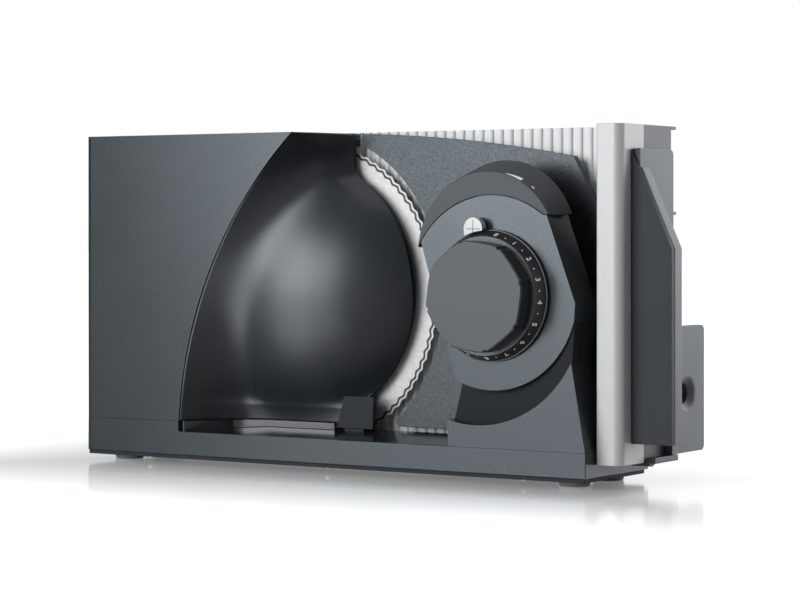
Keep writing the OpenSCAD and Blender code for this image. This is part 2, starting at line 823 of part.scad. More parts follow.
module index_spring() color(steel) in_frame() difference() {
    ycyl(index_x, stem_z, stem_radius + 1.6, wall, wall + 6);
    ycyl(index_x, stem_z, stem_radius + 0.6, 0, wall + 7);
}

module cap_barrel(r) {
    translate([cap_x, 0, cap_z]) rotate([cap_tilt, 0, 0]) rotate([-90, 0, 0])
        translate([0, 0, -40]) cylinder(r = r, h = 120);
}

module power_switch() color(dark_grey) in_frame() difference() {
    intersection() {
        cap_barrel(cap_radius);
        box(0, base_length, 0, cap_depth, dial_z + 20, 300);
    }
    intersection() {
        cap_barrel(cap_radius - wall);
        box(0, base_length, wall, cap_depth + 1, 0, 300);
    }
    ycyl(ring_x, ring_z, ring_radius + move_gap, -10, 60);
    box(dial_x, base_length, -10, 60, 0, cap_foot);
}

module slider() color(satin_black) in_frame() difference() {
    union() {
        box(slider_left, slider_right, base_depth + 1, rail_head_y + 3, rail_z - 5.6, slider_top);
        for (x = [slider_left + 6, slider_right - 6 - lug_width]) {
            box(x, x + lug_width, base_depth + 1, hinge_y + lug_radius, slider_top - 1, hinge_z);
            xcyl(hinge_y, hinge_z, lug_radius, x, x + lug_width);
        }
    }
    box(0, base_length, 0, rail_web_y, rail_z - rail_web_half - move_gap, rail_z + rail_web_half + move_gap);
    box(0, base_length, rail_web_y - move_gap, rail_head_y + move_gap,
        rail_z - rail_head_half - move_gap, rail_z + rail_head_half + move_gap);
    xcyl(hinge_y, hinge_z, hinge_pin_radius, 0, base_length);
}

module hinge_pin() color(steel) in_frame()
    xcyl(hinge_y, hinge_z, hinge_pin_radius, slider_left - 6, slider_right + 6);

module carriage_plate() color(silver) in_frame() {
    box(carriage_left, base_length, rib_y + 1.5, frame_panel_y0, carriage_foot, carriage_top);
    for (x = [carriage_left + 4 : rib_pitch : base_length - 3])
        zcyl(x, rib_y + rib_radius, rib_radius, carriage_foot, carriage_top);
}

module carriage_frame() color(dark_grey) in_frame() difference() {
    union() {
        box(carriage_left, wall_x1 - 0.4, frame_panel_y0, frame_panel_y1, carriage_foot, carriage_top);
        box(carriage_left, carriage_left + 3, frame_panel_y0, frame_rear, frame_sill, carriage_top);
        box(carriage_left, wall_x1 - 0.4, frame_panel_y0, flange_rear, carriage_top - flange_thickness,
            carriage_top);
        box(carriage_left, wall_x1 - 0.4, frame_panel_y0, frame_rear, frame_sill, frame_sill + 3);
        box(carriage_left, wall_x1 - 0.4, frame_panel_y0, flange_rear, middle_rib_z,
            middle_rib_z + flange_thickness);
        for (x = [slider_left - 6, slider_left + 6 + lug_width + move_gap,
            slider_right - 6 - lug_width - move_gap - knuckle_width, slider_right - 2])
            knuckle(x, x == slider_left - 6 || x == slider_right - 2 ? 11.6 : knuckle_width);
        difference() {
            box(wall_x0, wall_x1 - 0.4, end_wall_back, cheek_rear, end_wall_foot + 1, carriage_top);
            box(wall_x0 + wall, wall_x1 - wall, end_wall_back + wall, frame_rear,
                end_wall_foot + 4, carriage_top - flange_thickness);
        }
        box(wall_x0, panel_x1, end_wall_back + 4, ledge_rear, ledge_top - 3, ledge_top);
        xcyl(end_wall_back + 10, ledge_top, 5, wall_x0, wall_x1 - 0.4);
    }
    xcyl(hinge_y, hinge_z, hinge_pin_radius + run_gap, 0, base_length);
}

module knuckle(x, width) {
    xcyl(hinge_y, hinge_z, lug_radius, x, x + width);
    box(x, x + width, frame_panel_y1 - 1, hinge_y, hinge_z, hinge_z + lug_radius);
    box(x, x + width, frame_panel_y1 - 1, frame_panel_y1 + 3, hinge_z, frame_sill + 1);
}

module end_wall_plan(inset) {
    x0 = wall_x0 + inset;
    x1 = wall_x1 - inset;
    y0 = end_wall_nose + inset;
    r = 5 - inset;
    translate([x0 + r, y0]) square([x1 - x0 - 2 * r, end_wall_back - y0 - inset]);
    translate([x0, y0 + r]) square([x1 - x0, end_wall_back - y0 - r - inset]);
    translate([x0 + r, y0 + r]) circle(r = r);
    translate([x1 - r, y0 + r]) circle(r = r);
}

module end_wall() color(silver) in_frame() difference() {
    plan_slab(end_wall_foot, carriage_top) end_wall_plan(0);
    plan_slab(end_wall_foot - 1, carriage_top - wall) end_wall_plan(wall);
}

module panel_outline() {
    r = panel_round;
    translate([panel_front, guard_foot]) square([panel_upper - panel_front, panel_top - guard_foot - r]);
    translate([panel_front, guard_foot]) square([panel_upper - panel_front - r, panel_top - guard_foot]);
    disc_at(panel_upper - r, panel_top - r, r);
    translate([panel_front, guard_foot]) square([panel_rear - panel_front, panel_step - guard_foot - r]);
    translate([panel_front, guard_foot]) square([panel_rear - panel_front - r, panel_step - guard_foot]);
    disc_at(panel_rear - r, panel_step - r, r);
    translate([panel_heel, panel_foot]) square([panel_rear - panel_heel - r, guard_foot - panel_foot]);
    translate([panel_heel, panel_foot + r]) square([panel_rear - panel_heel, guard_foot - panel_foot]);
    disc_at(panel_rear - r, panel_foot + r, r);
}

module holder_panel() color(dark_grey) in_frame() difference() {
    union() {
        side_slab(panel_x0, panel_x1) panel_outline();
        intersection() {
            xcyl(thumb_y, thumb_z, thumb_radius + collar_wall, panel_x0 - collar_length, panel_x0 + 1);
            box(0, guard_x1, frame_rear + move_gap, panel_rear, 0, panel_top);
        }
    }
    xcyl(thumb_y, thumb_z, thumb_radius, 0, guard_x1);
    translate([panel_x1 - 2.6, thumb_y, thumb_z]) rotate([0, 90, 0])
        cylinder(r1 = thumb_radius, r2 = thumb_radius + 4.4, h = 2.61);
}

/* outline of the hand guard from a given left edge */
module guard_outline(left, inset) {
    slope = (guard_peak - guard_knee) / (guard_x1 - panel_x0);
    drop = inset * sqrt(1 + slope * slope);
    polygon([[left + inset, guard_foot + inset], [guard_x1 - inset, guard_foot + inset],
        [guard_x1 - inset, guard_knee + slope * inset - drop],
        [left + inset, guard_knee + slope * (guard_x1 - left - inset) - drop]]);
}

module guard_front() color(dark_grey) in_frame() difference() {
    union() {
        slab(holder_y, panel_front) guard_outline(panel_x0, 0);
        slab(holder_y, guard_split - seam_gap / 2) guard_outline(panel_x1, 0);
    }
    slab(panel_front, guard_split + 1) guard_outline(panel_x1, guard_wall);
}

module guard_rear() color(dark_grey) in_frame() difference() {
    slab(guard_split + seam_gap / 2, holder_y + guard_depth) guard_outline(panel_x1, 0);
    slab(guard_split - 1, holder_y + guard_depth - guard_wall) guard_outline(panel_x1, guard_wall);
}

base();
bottom_cover();
feet();
tray();
motor_housing();
rear_plate();
gear_cover();
blade_guard();
motor_can();
motor_magnets();
motor_posts();
spindle_bush();
idler_pin();
circuit_board();
cord_inlet();
rail();
housing_screws();
base_screws();
pedestal();
pedestal_back();
pedestal_scoop();
micro_switch();
blade();
blade_spindle();
blade_gear();
blade_screws();
idler_gear();
motor_rotor();
motor_pinion();
dial_grip();
dial_skirt();
dial_shaft();
stop_plate();
guide_rods();
cam_follower();
index_button();
index_spring();
power_switch();
slider();
hinge_pin();
carriage_plate();
carriage_frame();
end_wall();
holder_panel();
guard_front();
guard_rear();
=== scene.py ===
"""Dresses the electric food slicer: finishes, rounded edges, dial marks and a plain white studio."""

import json
import math

import bmesh
import bpy
from mathutils import Matrix, Vector


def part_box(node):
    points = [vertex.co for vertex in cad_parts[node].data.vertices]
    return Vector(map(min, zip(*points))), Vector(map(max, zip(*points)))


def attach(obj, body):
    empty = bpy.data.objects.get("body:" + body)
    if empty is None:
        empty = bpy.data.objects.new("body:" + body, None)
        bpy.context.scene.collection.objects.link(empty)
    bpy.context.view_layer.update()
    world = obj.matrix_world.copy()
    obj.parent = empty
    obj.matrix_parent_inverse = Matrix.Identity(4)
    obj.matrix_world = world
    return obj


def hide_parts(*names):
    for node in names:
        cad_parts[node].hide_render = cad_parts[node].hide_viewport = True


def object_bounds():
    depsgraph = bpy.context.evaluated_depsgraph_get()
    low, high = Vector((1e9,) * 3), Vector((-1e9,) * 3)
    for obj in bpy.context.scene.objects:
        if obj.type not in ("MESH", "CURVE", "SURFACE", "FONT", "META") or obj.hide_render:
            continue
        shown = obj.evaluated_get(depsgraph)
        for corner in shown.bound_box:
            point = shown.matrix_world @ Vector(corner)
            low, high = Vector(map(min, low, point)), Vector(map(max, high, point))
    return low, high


bl_info = {
    "name": "Food Slicer Dressing",
    "version": (1, 0, 0),
    "blender": (4, 5, 0),
    "location": "3D View > Sidebar > Slicer",
    "description": "Gives the food slicer its finishes, rounded edges, marks and studio",
    "category": "Object",
}

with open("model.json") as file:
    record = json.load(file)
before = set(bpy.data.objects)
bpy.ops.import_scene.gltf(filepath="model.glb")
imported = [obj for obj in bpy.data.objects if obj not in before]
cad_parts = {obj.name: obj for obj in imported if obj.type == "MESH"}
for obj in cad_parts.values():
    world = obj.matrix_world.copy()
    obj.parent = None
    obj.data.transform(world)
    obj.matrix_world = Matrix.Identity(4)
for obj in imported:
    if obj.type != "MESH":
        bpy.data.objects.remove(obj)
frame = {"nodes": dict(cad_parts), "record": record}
CAD_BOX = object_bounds()
MM = 0.001
# front left corner of the base, from which every place below is counted in millimetres
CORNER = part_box("base")[0]
BLADE_LOW, BLADE_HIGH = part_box("blade")
GRIP_LOW, GRIP_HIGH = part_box("dial_grip")
SKIRT_LOW, SKIRT_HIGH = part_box("dial_skirt")
COVER_LOW, COVER_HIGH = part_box("gear_cover")


def place(x, y, z):
    """A point given in millimetres from the base's front left corner, in the frame's metres."""
    return Vector((CORNER.x + x * MM, CORNER.y + y * MM, z * MM))


def middle(low, high):
    """The x and z of a turned piece's axis, in metres."""
    return (low.x + high.x) / 2, (low.z + high.z) / 2


BLADE_X, BLADE_Z = middle(BLADE_LOW, BLADE_HIGH)
DIAL_X, DIAL_Z = middle(SKIRT_LOW, SKIRT_HIGH)


# Settings

class SlicerSizes(bpy.types.PropertyGroup):
    """Small sizes of the rounded edges, the gear cover's blends and the dial's marks."""

    edge_round: bpy.props.FloatProperty(
        name="Casting edge", description="Rounding of the lacquered castings' edges",
        default=0.6 * MM, unit="LENGTH")
    seam_round: bpy.props.FloatProperty(
        name="Seam edge", description="Rounding of the base's and the pedestal's edges along their seam",
        default=0.9 * MM, unit="LENGTH")
    trim_round: bpy.props.FloatProperty(
        name="Trim edge", description="Rounding of the moulded pieces' edges",
        default=0.45 * MM, unit="LENGTH")
    wall_round: bpy.props.FloatProperty(
        name="End wall edge", description="Rounding of the bright end wall's upper edges",
        default=1.2 * MM, unit="LENGTH")
    wall_power: bpy.props.FloatProperty(
        name="Wall power", description="Sharpness with which the swept wall runs into the dome, 1 is softest",
        default=2.0, min=1, max=8)
    panel_blend: bpy.props.FloatProperty(
        name="Panel blend", description="Softness with which the dome runs into the panel above it",
        default=9 * MM, unit="LENGTH")
    skirt_blend: bpy.props.FloatProperty(
        name="Skirt blend", description="Softness with which the dome runs into its upright foot",
        default=3.5 * MM, unit="LENGTH")
    cover_thickness: bpy.props.FloatProperty(
        name="Cover thickness", description="Wall of the gear cover",
        default=1.6 * MM, unit="LENGTH")
    blade_waves: bpy.props.IntProperty(
        name="Blade waves", description="Waves around the cutting edge", default=84)
    wave_depth: bpy.props.FloatProperty(
        name="Wave depth", description="Depth of a wave in the cutting edge",
        default=1.0 * MM, unit="LENGTH")
    grip_facets: bpy.props.IntProperty(
        name="Grip facets", description="Flats around the dial's grip", default=8)
    number_height: bpy.props.FloatProperty(
        name="Number height", description="Height of the dial's numbers",
        default=3.1 * MM, unit="LENGTH")
    number_count: bpy.props.IntProperty(
        name="Numbers", description="How many numbers stand on the dial's skirt", default=15)


def finish_colour(name, text, value):
    """A colour setting for one finish."""
    return bpy.props.FloatVectorProperty(
        name=name, description=text, subtype="COLOR", size=3, min=0, max=1, default=value)


class SlicerFinishes(bpy.types.PropertyGroup):
    """Colours of the slicer's finishes."""

    lacquer: finish_colour("Lacquer", "Metallic dark grey of the castings", (0.0365, 0.0405, 0.0440))
    cover_black: finish_colour("Cover black", "Satin black of the gear cover", (0.010, 0.012, 0.0145))
    tray_black: finish_colour("Tray black", "Gloss black of the tray", (0.012, 0.012, 0.014))
    moulded: finish_colour("Moulded grey", "Dark matte plastic", (0.018, 0.020, 0.024))
    frame_grey: finish_colour("Frame grey", "Mid grey of the carriage frame", (0.052, 0.055, 0.060))
    blue_grey: finish_colour("Blue grey", "Satin plastic of grip, switch and holder", (0.046, 0.051, 0.058))
    marks: finish_colour("Marks", "Pale marks on the dial", (0.80, 0.81, 0.82))
    button: finish_colour("Button", "Light grey of the small button", (0.395, 0.385, 0.38))
    silver: finish_colour("Silver", "Satin silver of the end wall and the ribs", (0.575, 0.565, 0.565))
    steel: finish_colour("Steel", "Ground steel of the blade", (0.425, 0.415, 0.415))
    rubber: finish_colour("Rubber", "Grey rubber of the feet", (0.20, 0.205, 0.21))


# Shared effects

def new_group(name, inputs, outputs):
    """An empty shader group with the named sockets, each given as a name and a socket type."""
    tree = bpy.data.node_groups.new(name, "ShaderNodeTree")
    for label, kind in inputs:
        tree.interface.new_socket(name=label, in_out="INPUT", socket_type=kind)
    for label, kind in outputs:
        tree.interface.new_socket(name=label, in_out="OUTPUT", socket_type=kind)
    return tree, tree.nodes.new("NodeGroupInput"), tree.nodes.new("NodeGroupOutput")


def add(tree, kind, **values):
    """A node with the given settings; a key that names a socket sets that socket."""
    made = tree.nodes.new(kind)
    for key, value in values.items():
        label = key.replace("_", " ").title()
        if hasattr(made, key):
            setattr(made, key, value)
        else:
            made.inputs[label].default_value = value
    return made


def maths(tree, operation, first, second):
    """A maths node on two terms, each a socket or a plain number."""
    made = add(tree, "ShaderNodeMath", operation=operation)
    for index, term in enumerate((first, second)):
        if isinstance(term, (int, float)):
            made.inputs[index].default_value = term
        else:
            tree.links.new(term, made.inputs[index])
    return made.outputs[0]


def spread(tree, value, low, high, start=0.0, end=1.0, kind="LINEAR"):
    """Maps a value that runs from start to end to the range from low to high."""
    made = add(tree, "ShaderNodeMapRange", interpolation_type=kind)
    made.inputs["From Min"].default_value = start
    made.inputs["From Max"].default_value = end
    made.inputs["To Min"].default_value = low
    made.inputs["To Max"].default_value = high
    tree.links.new(value, made.inputs["Value"])
    return made.outputs["Result"]


PEEL_SCALE = 0.45
SPECKLE_RANGE = (0.32, 0.70)


def flake_group():
    """Fine grain of a metallic lacquer: a speckle mask and a height for its orange peel."""
    tree, start, end = new_group(
        "flake grain", [("Vector", "NodeSocketVector"), ("Scale", "NodeSocketFloat")],
        [("Speckle", "NodeSocketFloat"), ("Height", "NodeSocketFloat")])
    fine = add(tree, "ShaderNodeTexNoise", detail=2.0, roughness=0.7)
    peel = add(tree, "ShaderNodeTexNoise", detail=1.0, roughness=0.5)
    tree.links.new(start.outputs["Vector"], fine.inputs["Vector"])
    tree.links.new(start.outputs["Vector"], peel.inputs["Vector"])
    tree.links.new(start.outputs["Scale"], fine.inputs["Scale"])
    tree.links.new(maths(tree, "MULTIPLY", start.outputs["Scale"], PEEL_SCALE), peel.inputs["Scale"])
    tree.links.new(spread(tree, fine.outputs["Fac"], 0, 1, *SPECKLE_RANGE), end.inputs["Speckle"])
    tree.links.new(peel.outputs["Fac"], end.inputs["Height"])
    return tree


def handling_group():
    """Broad, faint unevenness of a handled surface."""
    tree, start, end = new_group(
        "handling", [("Vector", "NodeSocketVector"), ("Scale", "NodeSocketFloat")],
        [("Cloud", "NodeSocketFloat")])
    cloud = add(tree, "ShaderNodeTexNoise", detail=4.0, roughness=0.55)
    tree.links.new(start.outputs["Vector"], cloud.inputs["Vector"])
    tree.links.new(start.outputs["Scale"], cloud.inputs["Scale"])
    tree.links.new(cloud.outputs["Fac"], end.inputs["Cloud"])
    return tree


def streak_group():
    """Drawn or ground streaks: noise stretched along one direction of the vector."""
    tree, start, end = new_group(
        "streaks", [("Vector", "NodeSocketVector"), ("Across", "NodeSocketFloat")],
        [("Streak", "NodeSocketFloat")])
    streak = add(tree, "ShaderNodeTexNoise", detail=3.0, roughness=0.65)
    tree.links.new(start.outputs["Vector"], streak.inputs["Vector"])
    tree.links.new(start.outputs["Across"], streak.inputs["Scale"])
    tree.links.new(streak.outputs["Fac"], end.inputs["Streak"])
    return tree


GROUPS = {}


def effect(tree, name, vector, **values):
    """Places a shared effect in a material and feeds it a vector."""
    made = tree.nodes.new("ShaderNodeGroup")
    made.node_tree = GROUPS[name]
    tree.links.new(vector, made.inputs["Vector"])
    for key, value in values.items():
        made.inputs[key.title()].default_value = value
    return made


# Finishes

# places of a mix node's colour sockets, whose names it shares with its other kinds
MIX_DARK = 6
MIX_LIGHT = 7
MIX_RESULT = 2
UNEVEN_ROUGH = 0.05
GRAIN_DEPTH = 0.1 * MM
STREAK_DEPTH = 0.05 * MM
LACQUER_METAL = 0.6
LACQUER_SHINE = 0.15
LACQUER_GRAIN = 1500
LACQUER_CLOUD = 18
LACQUER_PEEL = 0.10
FLAKE_SHADES = (0.55, 1.55)
MOULDED_CLOUD = 25
MOULDED_SHADES = (0.90, 1.10)
COAT_ROUGH = 0.2
DRAWN_SHINE = 0.18
DRAWN_ROUGH = 0.07
DRAWN_RELIEF = 0.06
BLADE_METAL = 0.25
BLADE_RELIEF = 0.10
BLADE_SMOOTHER = 0.08
BLADE_ROUGHER = 0.10
BLADE_CLOUD = 420
BLADE_MOTTLE = 0.60
# the darkest of these blade tones is the painted shade line near the rim, the rest spans the steel's mottle
BLADE_MOTTLE_AND_SHADE = (0.04, 1.30)
RING_SCALE = 900
RING_STRETCH = 0.35
RING_TURN = 0.16
# the painted shade line near the blade's rim, standing in for the shadow along its ground edge: how far
# inside it lies, its half width and where it has faded out
SHADE_LINE_INSET = 2.2 * MM
SHADE_LINE_HALF = 0.45 * MM
SHADE_LINE_FADE = 0.80 * MM
# streaks that run upwards, and streaks turned about the depth axis
UPRIGHT = (1, 1, 0.03)
TURNED = (1, 0.05, 1)
FERRITE = (0.06, 0.06, 0.065)
BRASS = (0.72, 0.52, 0.24)
GEAR_WHITE = (0.78, 0.77, 0.72)
BOARD_GREENS = {
    "Color1": (0.02, 0.14, 0.07, 1),
    "Color2": (0.03, 0.17, 0.09, 1),
    "Mortar": (0.08, 0.26, 0.14, 1),
}
BOARD_TRACKS = 220


def shaded(colour, share):
    """A darker shade of a colour."""
    return [c * share for c in colour]


def blank_finish(name, **sockets):
    """A material with a Principled shader whose constant sockets are set directly."""
    material = bpy.data.materials.new(name)
    material.use_nodes = True
    tree = material.node_tree
    shader = tree.nodes["Principled BSDF"]
    for key, value in sockets.items():
        shader.inputs[key.replace("_", " ")].default_value = value
    coordinates = tree.nodes.new("ShaderNodeTexCoord").outputs["Object"]
    return material, tree, shader, coordinates


def shade_between(tree, mask, shader, colour, dark, light):
    """Runs the base colour between a darker and a lighter shade of one colour."""
    mix = add(tree, "ShaderNodeMix", data_type="RGBA")
    mix.inputs[MIX_DARK].default_value = (*[c * dark for c in colour], 1)
    mix.inputs[MIX_LIGHT].default_value = (*[min(1, c * light) for c in colour], 1)
    tree.links.new(mask, mix.inputs["Factor"])
    tree.links.new(mix.outputs[MIX_RESULT], shader.inputs["Base Color"])


def rough_between(tree, mask, shader, low, high):
    """Runs the roughness between two values."""
    tree.links.new(spread(tree, mask, low, high), shader.inputs["Roughness"])


def bump(tree, height, shader, strength, depth):
    """A bump from a height to the shader's normal."""
    made = add(tree, "ShaderNodeBump", strength=strength, distance=depth)
    tree.links.new(height, made.inputs["Height"])
    tree.links.new(made.outputs["Normal"], shader.inputs["Normal"])


def lacquer_finish(name, colour, rough):
    """Fine-grained metallic lacquer."""
    material, tree, shader, where = blank_finish(
        name, Metallic=LACQUER_METAL, Specular_IOR_Level=LACQUER_SHINE)
    flake = effect(tree, "flake", where, scale=LACQUER_GRAIN)
    cloud = effect(tree, "handling", where, scale=LACQUER_CLOUD)
    shade_between(tree, flake.outputs["Speckle"], shader, colour, *FLAKE_SHADES)
    rough_between(tree, cloud.outputs["Cloud"], shader, rough - UNEVEN_ROUGH, rough + UNEVEN_ROUGH)
    bump(tree, flake.outputs["Height"], shader, LACQUER_PEEL, GRAIN_DEPTH)
    return material


def moulded_finish(name, colour, rough, grain, depth, coat=0.0, shine=0.5):
    """Moulded plastic with a light spark-eroded grain."""
    material, tree, shader, where = blank_finish(
        name, Coat_Weight=coat, Coat_Roughness=COAT_ROUGH, Specular_IOR_Level=shine)
    flake = effect(tree, "flake", where, scale=grain)
    cloud = effect(tree, "handling", where, scale=MOULDED_CLOUD)
    shade_between(tree, cloud.outputs["Cloud"], shader, colour, *MOULDED_SHADES)
    rough_between(tree, cloud.outputs["Cloud"], shader, rough - UNEVEN_ROUGH, rough + UNEVEN_ROUGH)
    bump(tree, flake.outputs["Height"], shader, depth, GRAIN_DEPTH)
    return material


def drawn_finish(name, colour, rough, stretch, across, contrast, metallic=1.0):
    """Metal with straight drawn streaks; stretch scales the three directions of the pattern."""
    material, tree, shader, where = blank_finish(name, Metallic=metallic, Specular_IOR_Level=DRAWN_SHINE)
    mapping = add(tree, "ShaderNodeMapping")
    mapping.inputs["Scale"].default_value = stretch
    tree.links.new(where, mapping.inputs["Vector"])
    streak = effect(tree, "streaks", mapping.outputs["Vector"], across=across)
    shade_between(tree, streak.outputs["Streak"], shader, colour, 1 - contrast, 1 + contrast)
    rough_between(tree, streak.outputs["Streak"], shader, rough - DRAWN_ROUGH, rough + DRAWN_ROUGH)
    bump(tree, streak.outputs["Streak"], shader, DRAWN_RELIEF, STREAK_DEPTH)
    return material


def ground_finish(name, colour, rough, waves, depth):
    """Blade steel ground in rings about the blade's axis, with a cloudy mottle and a painted wavy shade line
    near its edge that stands in for the shadow along its ground scallops.
    """
    rim = (BLADE_HIGH.x - BLADE_LOW.x) / 2
    material, tree, shader, where = blank_finish(name, Metallic=BLADE_METAL)
    mapping = add(tree, "ShaderNodeMapping")
    mapping.inputs["Location"].default_value = (-BLADE_X, 0, -BLADE_Z)
    tree.links.new(where, mapping.inputs["Vector"])
    parts = add(tree, "ShaderNodeSeparateXYZ")
    tree.links.new(mapping.outputs["Vector"], parts.inputs[0])
    across, up = parts.outputs["X"], parts.outputs["Z"]
    radius = maths(tree, "POWER", maths(tree, "ADD", maths(tree, "MULTIPLY", across, across),
                                        maths(tree, "MULTIPLY", up, up)), 0.5)
    turn = maths(tree, "ARCTAN2", up, across)
    ring = add(tree, "ShaderNodeCombineXYZ")
    tree.links.new(maths(tree, "MULTIPLY", radius, RING_STRETCH), ring.inputs["X"])
    tree.links.new(maths(tree, "MULTIPLY", turn, RING_TURN), ring.inputs["Z"])
    streak = effect(tree, "streaks", ring.outputs["Vector"], across=RING_SCALE)
    cloud = effect(tree, "handling", where, scale=BLADE_CLOUD)
    wave = maths(tree, "MULTIPLY", maths(tree, "COSINE", maths(tree, "MULTIPLY", turn, waves), 0), depth / 2)
    # painted shade: a dark wavy line just inside the rim, standing in for the shadow along the ground edge
    beside = maths(tree, "SUBTRACT", maths(tree, "ADD", radius, wave), rim - SHADE_LINE_INSET)
    unshaded = spread(tree, maths(tree, "ABSOLUTE", beside, 0), 0, 1, SHADE_LINE_HALF, SHADE_LINE_FADE)
    mottle_and_shade = maths(tree, "MULTIPLY", spread(tree, cloud.outputs["Cloud"], BLADE_MOTTLE, 1), unshaded)
    shade_between(tree, mottle_and_shade, shader, colour, *BLADE_MOTTLE_AND_SHADE)
    rough_between(tree, streak.outputs["Streak"], shader, rough - BLADE_SMOOTHER, rough + BLADE_ROUGHER)
    bump(tree, streak.outputs["Streak"], shader, BLADE_RELIEF, STREAK_DEPTH)
    return material


def board_finish():
    """Green circuit board lacquer with fine tracks."""
    material, tree, shader, where = blank_finish("circuit board", Roughness=0.35)
    tracks = add(tree, "ShaderNodeTexBrick")
    tracks.inputs["Scale"].default_value = BOARD_TRACKS
    for socket, green in BOARD_GREENS.items():
        tracks.inputs[socket].default_value = green
    tree.links.new(where, tracks.inputs["Vector"])
    tree.links.new(tracks.outputs["Color"], shader.inputs["Base Color"])
    return material


def make_finishes(sizes, colours):
    """Every finish of the slicer, keyed by its slot in the record."""
    GROUPS["flake"] = flake_group()
    GROUPS["handling"] = handling_group()
    GROUPS["streaks"] = streak_group()
    lacquer, blue, moulded = colours.lacquer, colours.blue_grey, colours.moulded
    silver, steel, cover, tray = colours.silver, colours.steel, colours.cover_black, colours.tray_black
    return {
        "paint_grey": lacquer_finish("metallic lacquer", lacquer, rough=0.24),
        "stop_grey": lacquer_finish("plate lacquer", shaded(lacquer, 0.9), rough=0.32),
        "gloss_black": moulded_finish("tray gloss", tray, rough=0.14, grain=900, depth=0.02, coat=0.2),
        "satin_black": moulded_finish("cover satin", cover, rough=0.36, grain=3200, depth=0.06),
        "dark_plastic": moulded_finish(
            "dark moulded", moulded, rough=0.60, grain=2200, depth=0.16, shine=0.12),
        "frame_grey": moulded_finish(
            "frame satin", colours.frame_grey, rough=0.45, grain=2200, depth=0.10, shine=0.24),
        "scoop_black": moulded_finish("scoop satin", cover, rough=0.60, grain=2200, depth=0.10, shine=0.1),
        "dial_grey": moulded_finish("grip satin", blue, rough=0.48, grain=2600, depth=0.10, shine=0.3),
        "dial_black": moulded_finish("skirt satin", tray, rough=0.38, grain=2600, depth=0.06),
        "switch_grey": moulded_finish(
            "switch satin", shaded(blue, 0.75), rough=0.48, grain=2600, depth=0.08, shine=0.25),
        "button_grey": moulded_finish(
            "button satin", colours.button, rough=0.38, grain=1800, depth=0.05, coat=0.2),
        "holder_grey": moulded_finish("holder satin", blue, rough=0.44, grain=2400, depth=0.08, shine=0.27),
        "rib_silver": drawn_finish(
            "rib silver", silver, rough=0.55, stretch=UPRIGHT, across=1500, contrast=0.04, metallic=0.0),
        "wall_silver": drawn_finish(
            "wall silver", shaded(silver, 0.62), rough=0.38, stretch=UPRIGHT, across=1700, contrast=0.03,
            metallic=0.11),
        "blade_steel": ground_finish(
            "ground blade", steel, rough=0.58, waves=sizes.blade_waves, depth=sizes.wave_depth),
        "steel": drawn_finish(
            "turned steel", shaded(steel, 0.82), rough=0.32, stretch=TURNED, across=1400, contrast=0.08),
        "magnet": moulded_finish("ferrite", FERRITE, rough=0.60, grain=1800, depth=0.2),
        "brass": drawn_finish("turned brass", BRASS, rough=0.30, stretch=TURNED, across=1400, contrast=0.08),
        "gear_white": moulded_finish("gear plastic", GEAR_WHITE, rough=0.45, grain=1800, depth=0.06),
        "board": board_finish(),
        "rubber": moulded_finish("foot rubber", colours.rubber, rough=0.75, grain=1600, depth=0.25),
    }


FINISHES = {}


def settle(piece, body, slot, *nodes, finish=None):
    """Gives a piece its finish, sets it on its body and hides the solids it stands for."""
    piece.data.materials.clear()
    piece.data.materials.append(FINISHES[finish or slot])
    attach(piece, body)
    if nodes:
        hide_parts(*nodes)
    return piece


def body_of(node):
    """The body that carries a node."""
    bodies = frame["record"]["behaviour"]["bodies"]
    return next(name for name, nodes in bodies.items() if node in nodes)


def slot_of(node):
    """The material slot that the record gives a node."""
    return next(s["material_slot"] for s in frame["record"]["subparts"] if s["node"] == node)


# Modelling helpers

FLAT_WEIGHT = 60
WELD_REACH = 2e-6
FLAT_ANGLE = math.radians(0.4)


def object_from(bm, name, smooth=True):
    """Closes a bmesh into a new object at the origin."""
    mesh = bpy.data.meshes.new(name)
    bm.to_mesh(mesh)
    bm.free()
    for face in mesh.polygons:
        face.use_smooth = smooth
    made = bpy.data.objects.new(name, mesh)
    bpy.context.scene.collection.objects.link(made)
    return made


def round_edges(piece, width, segments=3, angle=32):
    """Rounds a piece's sharp edges and keeps its flats flat."""
    bevel = piece.modifiers.new("rounded edges", "BEVEL")
    bevel.width = width
    bevel.segments = segments
    bevel.limit_method = "ANGLE"
    bevel.angle_limit = math.radians(angle)
    bevel.use_clamp_overlap = True
    bevel.miter_outer = "MITER_ARC"
    flats = piece.modifiers.new("flat faces", "WEIGHTED_NORMAL")
    flats.weight = FLAT_WEIGHT
    flats.keep_sharp = False


def rounded_node(node, width, segments=3, angle=32, finish=None):
    """A copy of a solid with its sharp edges rounded, which stands for it."""
    bm = bmesh.new()
    bm.from_mesh(frame["nodes"][node].data)
    bmesh.ops.remove_doubles(bm, verts=bm.verts, dist=WELD_REACH)
    bmesh.ops.dissolve_limit(bm, angle_limit=FLAT_ANGLE, verts=bm.verts, edges=bm.edges)
    piece = object_from(bm, node + "_rounded")
    round_edges(piece, width, segments, angle)
    return settle(piece, body_of(node), slot_of(node), node, finish=finish)


def block(bm, low, high):
    """A box between two corners."""
    size = high - low
    matrix = Matrix.Translation((low + high) / 2) @ Matrix.Diagonal((*size, 1))
    bmesh.ops.create_cube(bm, size=1, matrix=matrix)


def dress_nodes(nodes):
    """Puts the finishes on solids whose shape stays as it is."""
    for node in nodes:
        solid = frame["nodes"][node]
        for holder in solid.material_slots:
            holder.material = FINISHES[slot_of(node)]


# Shape of the gear cover, in millimetres from the base's front left corner

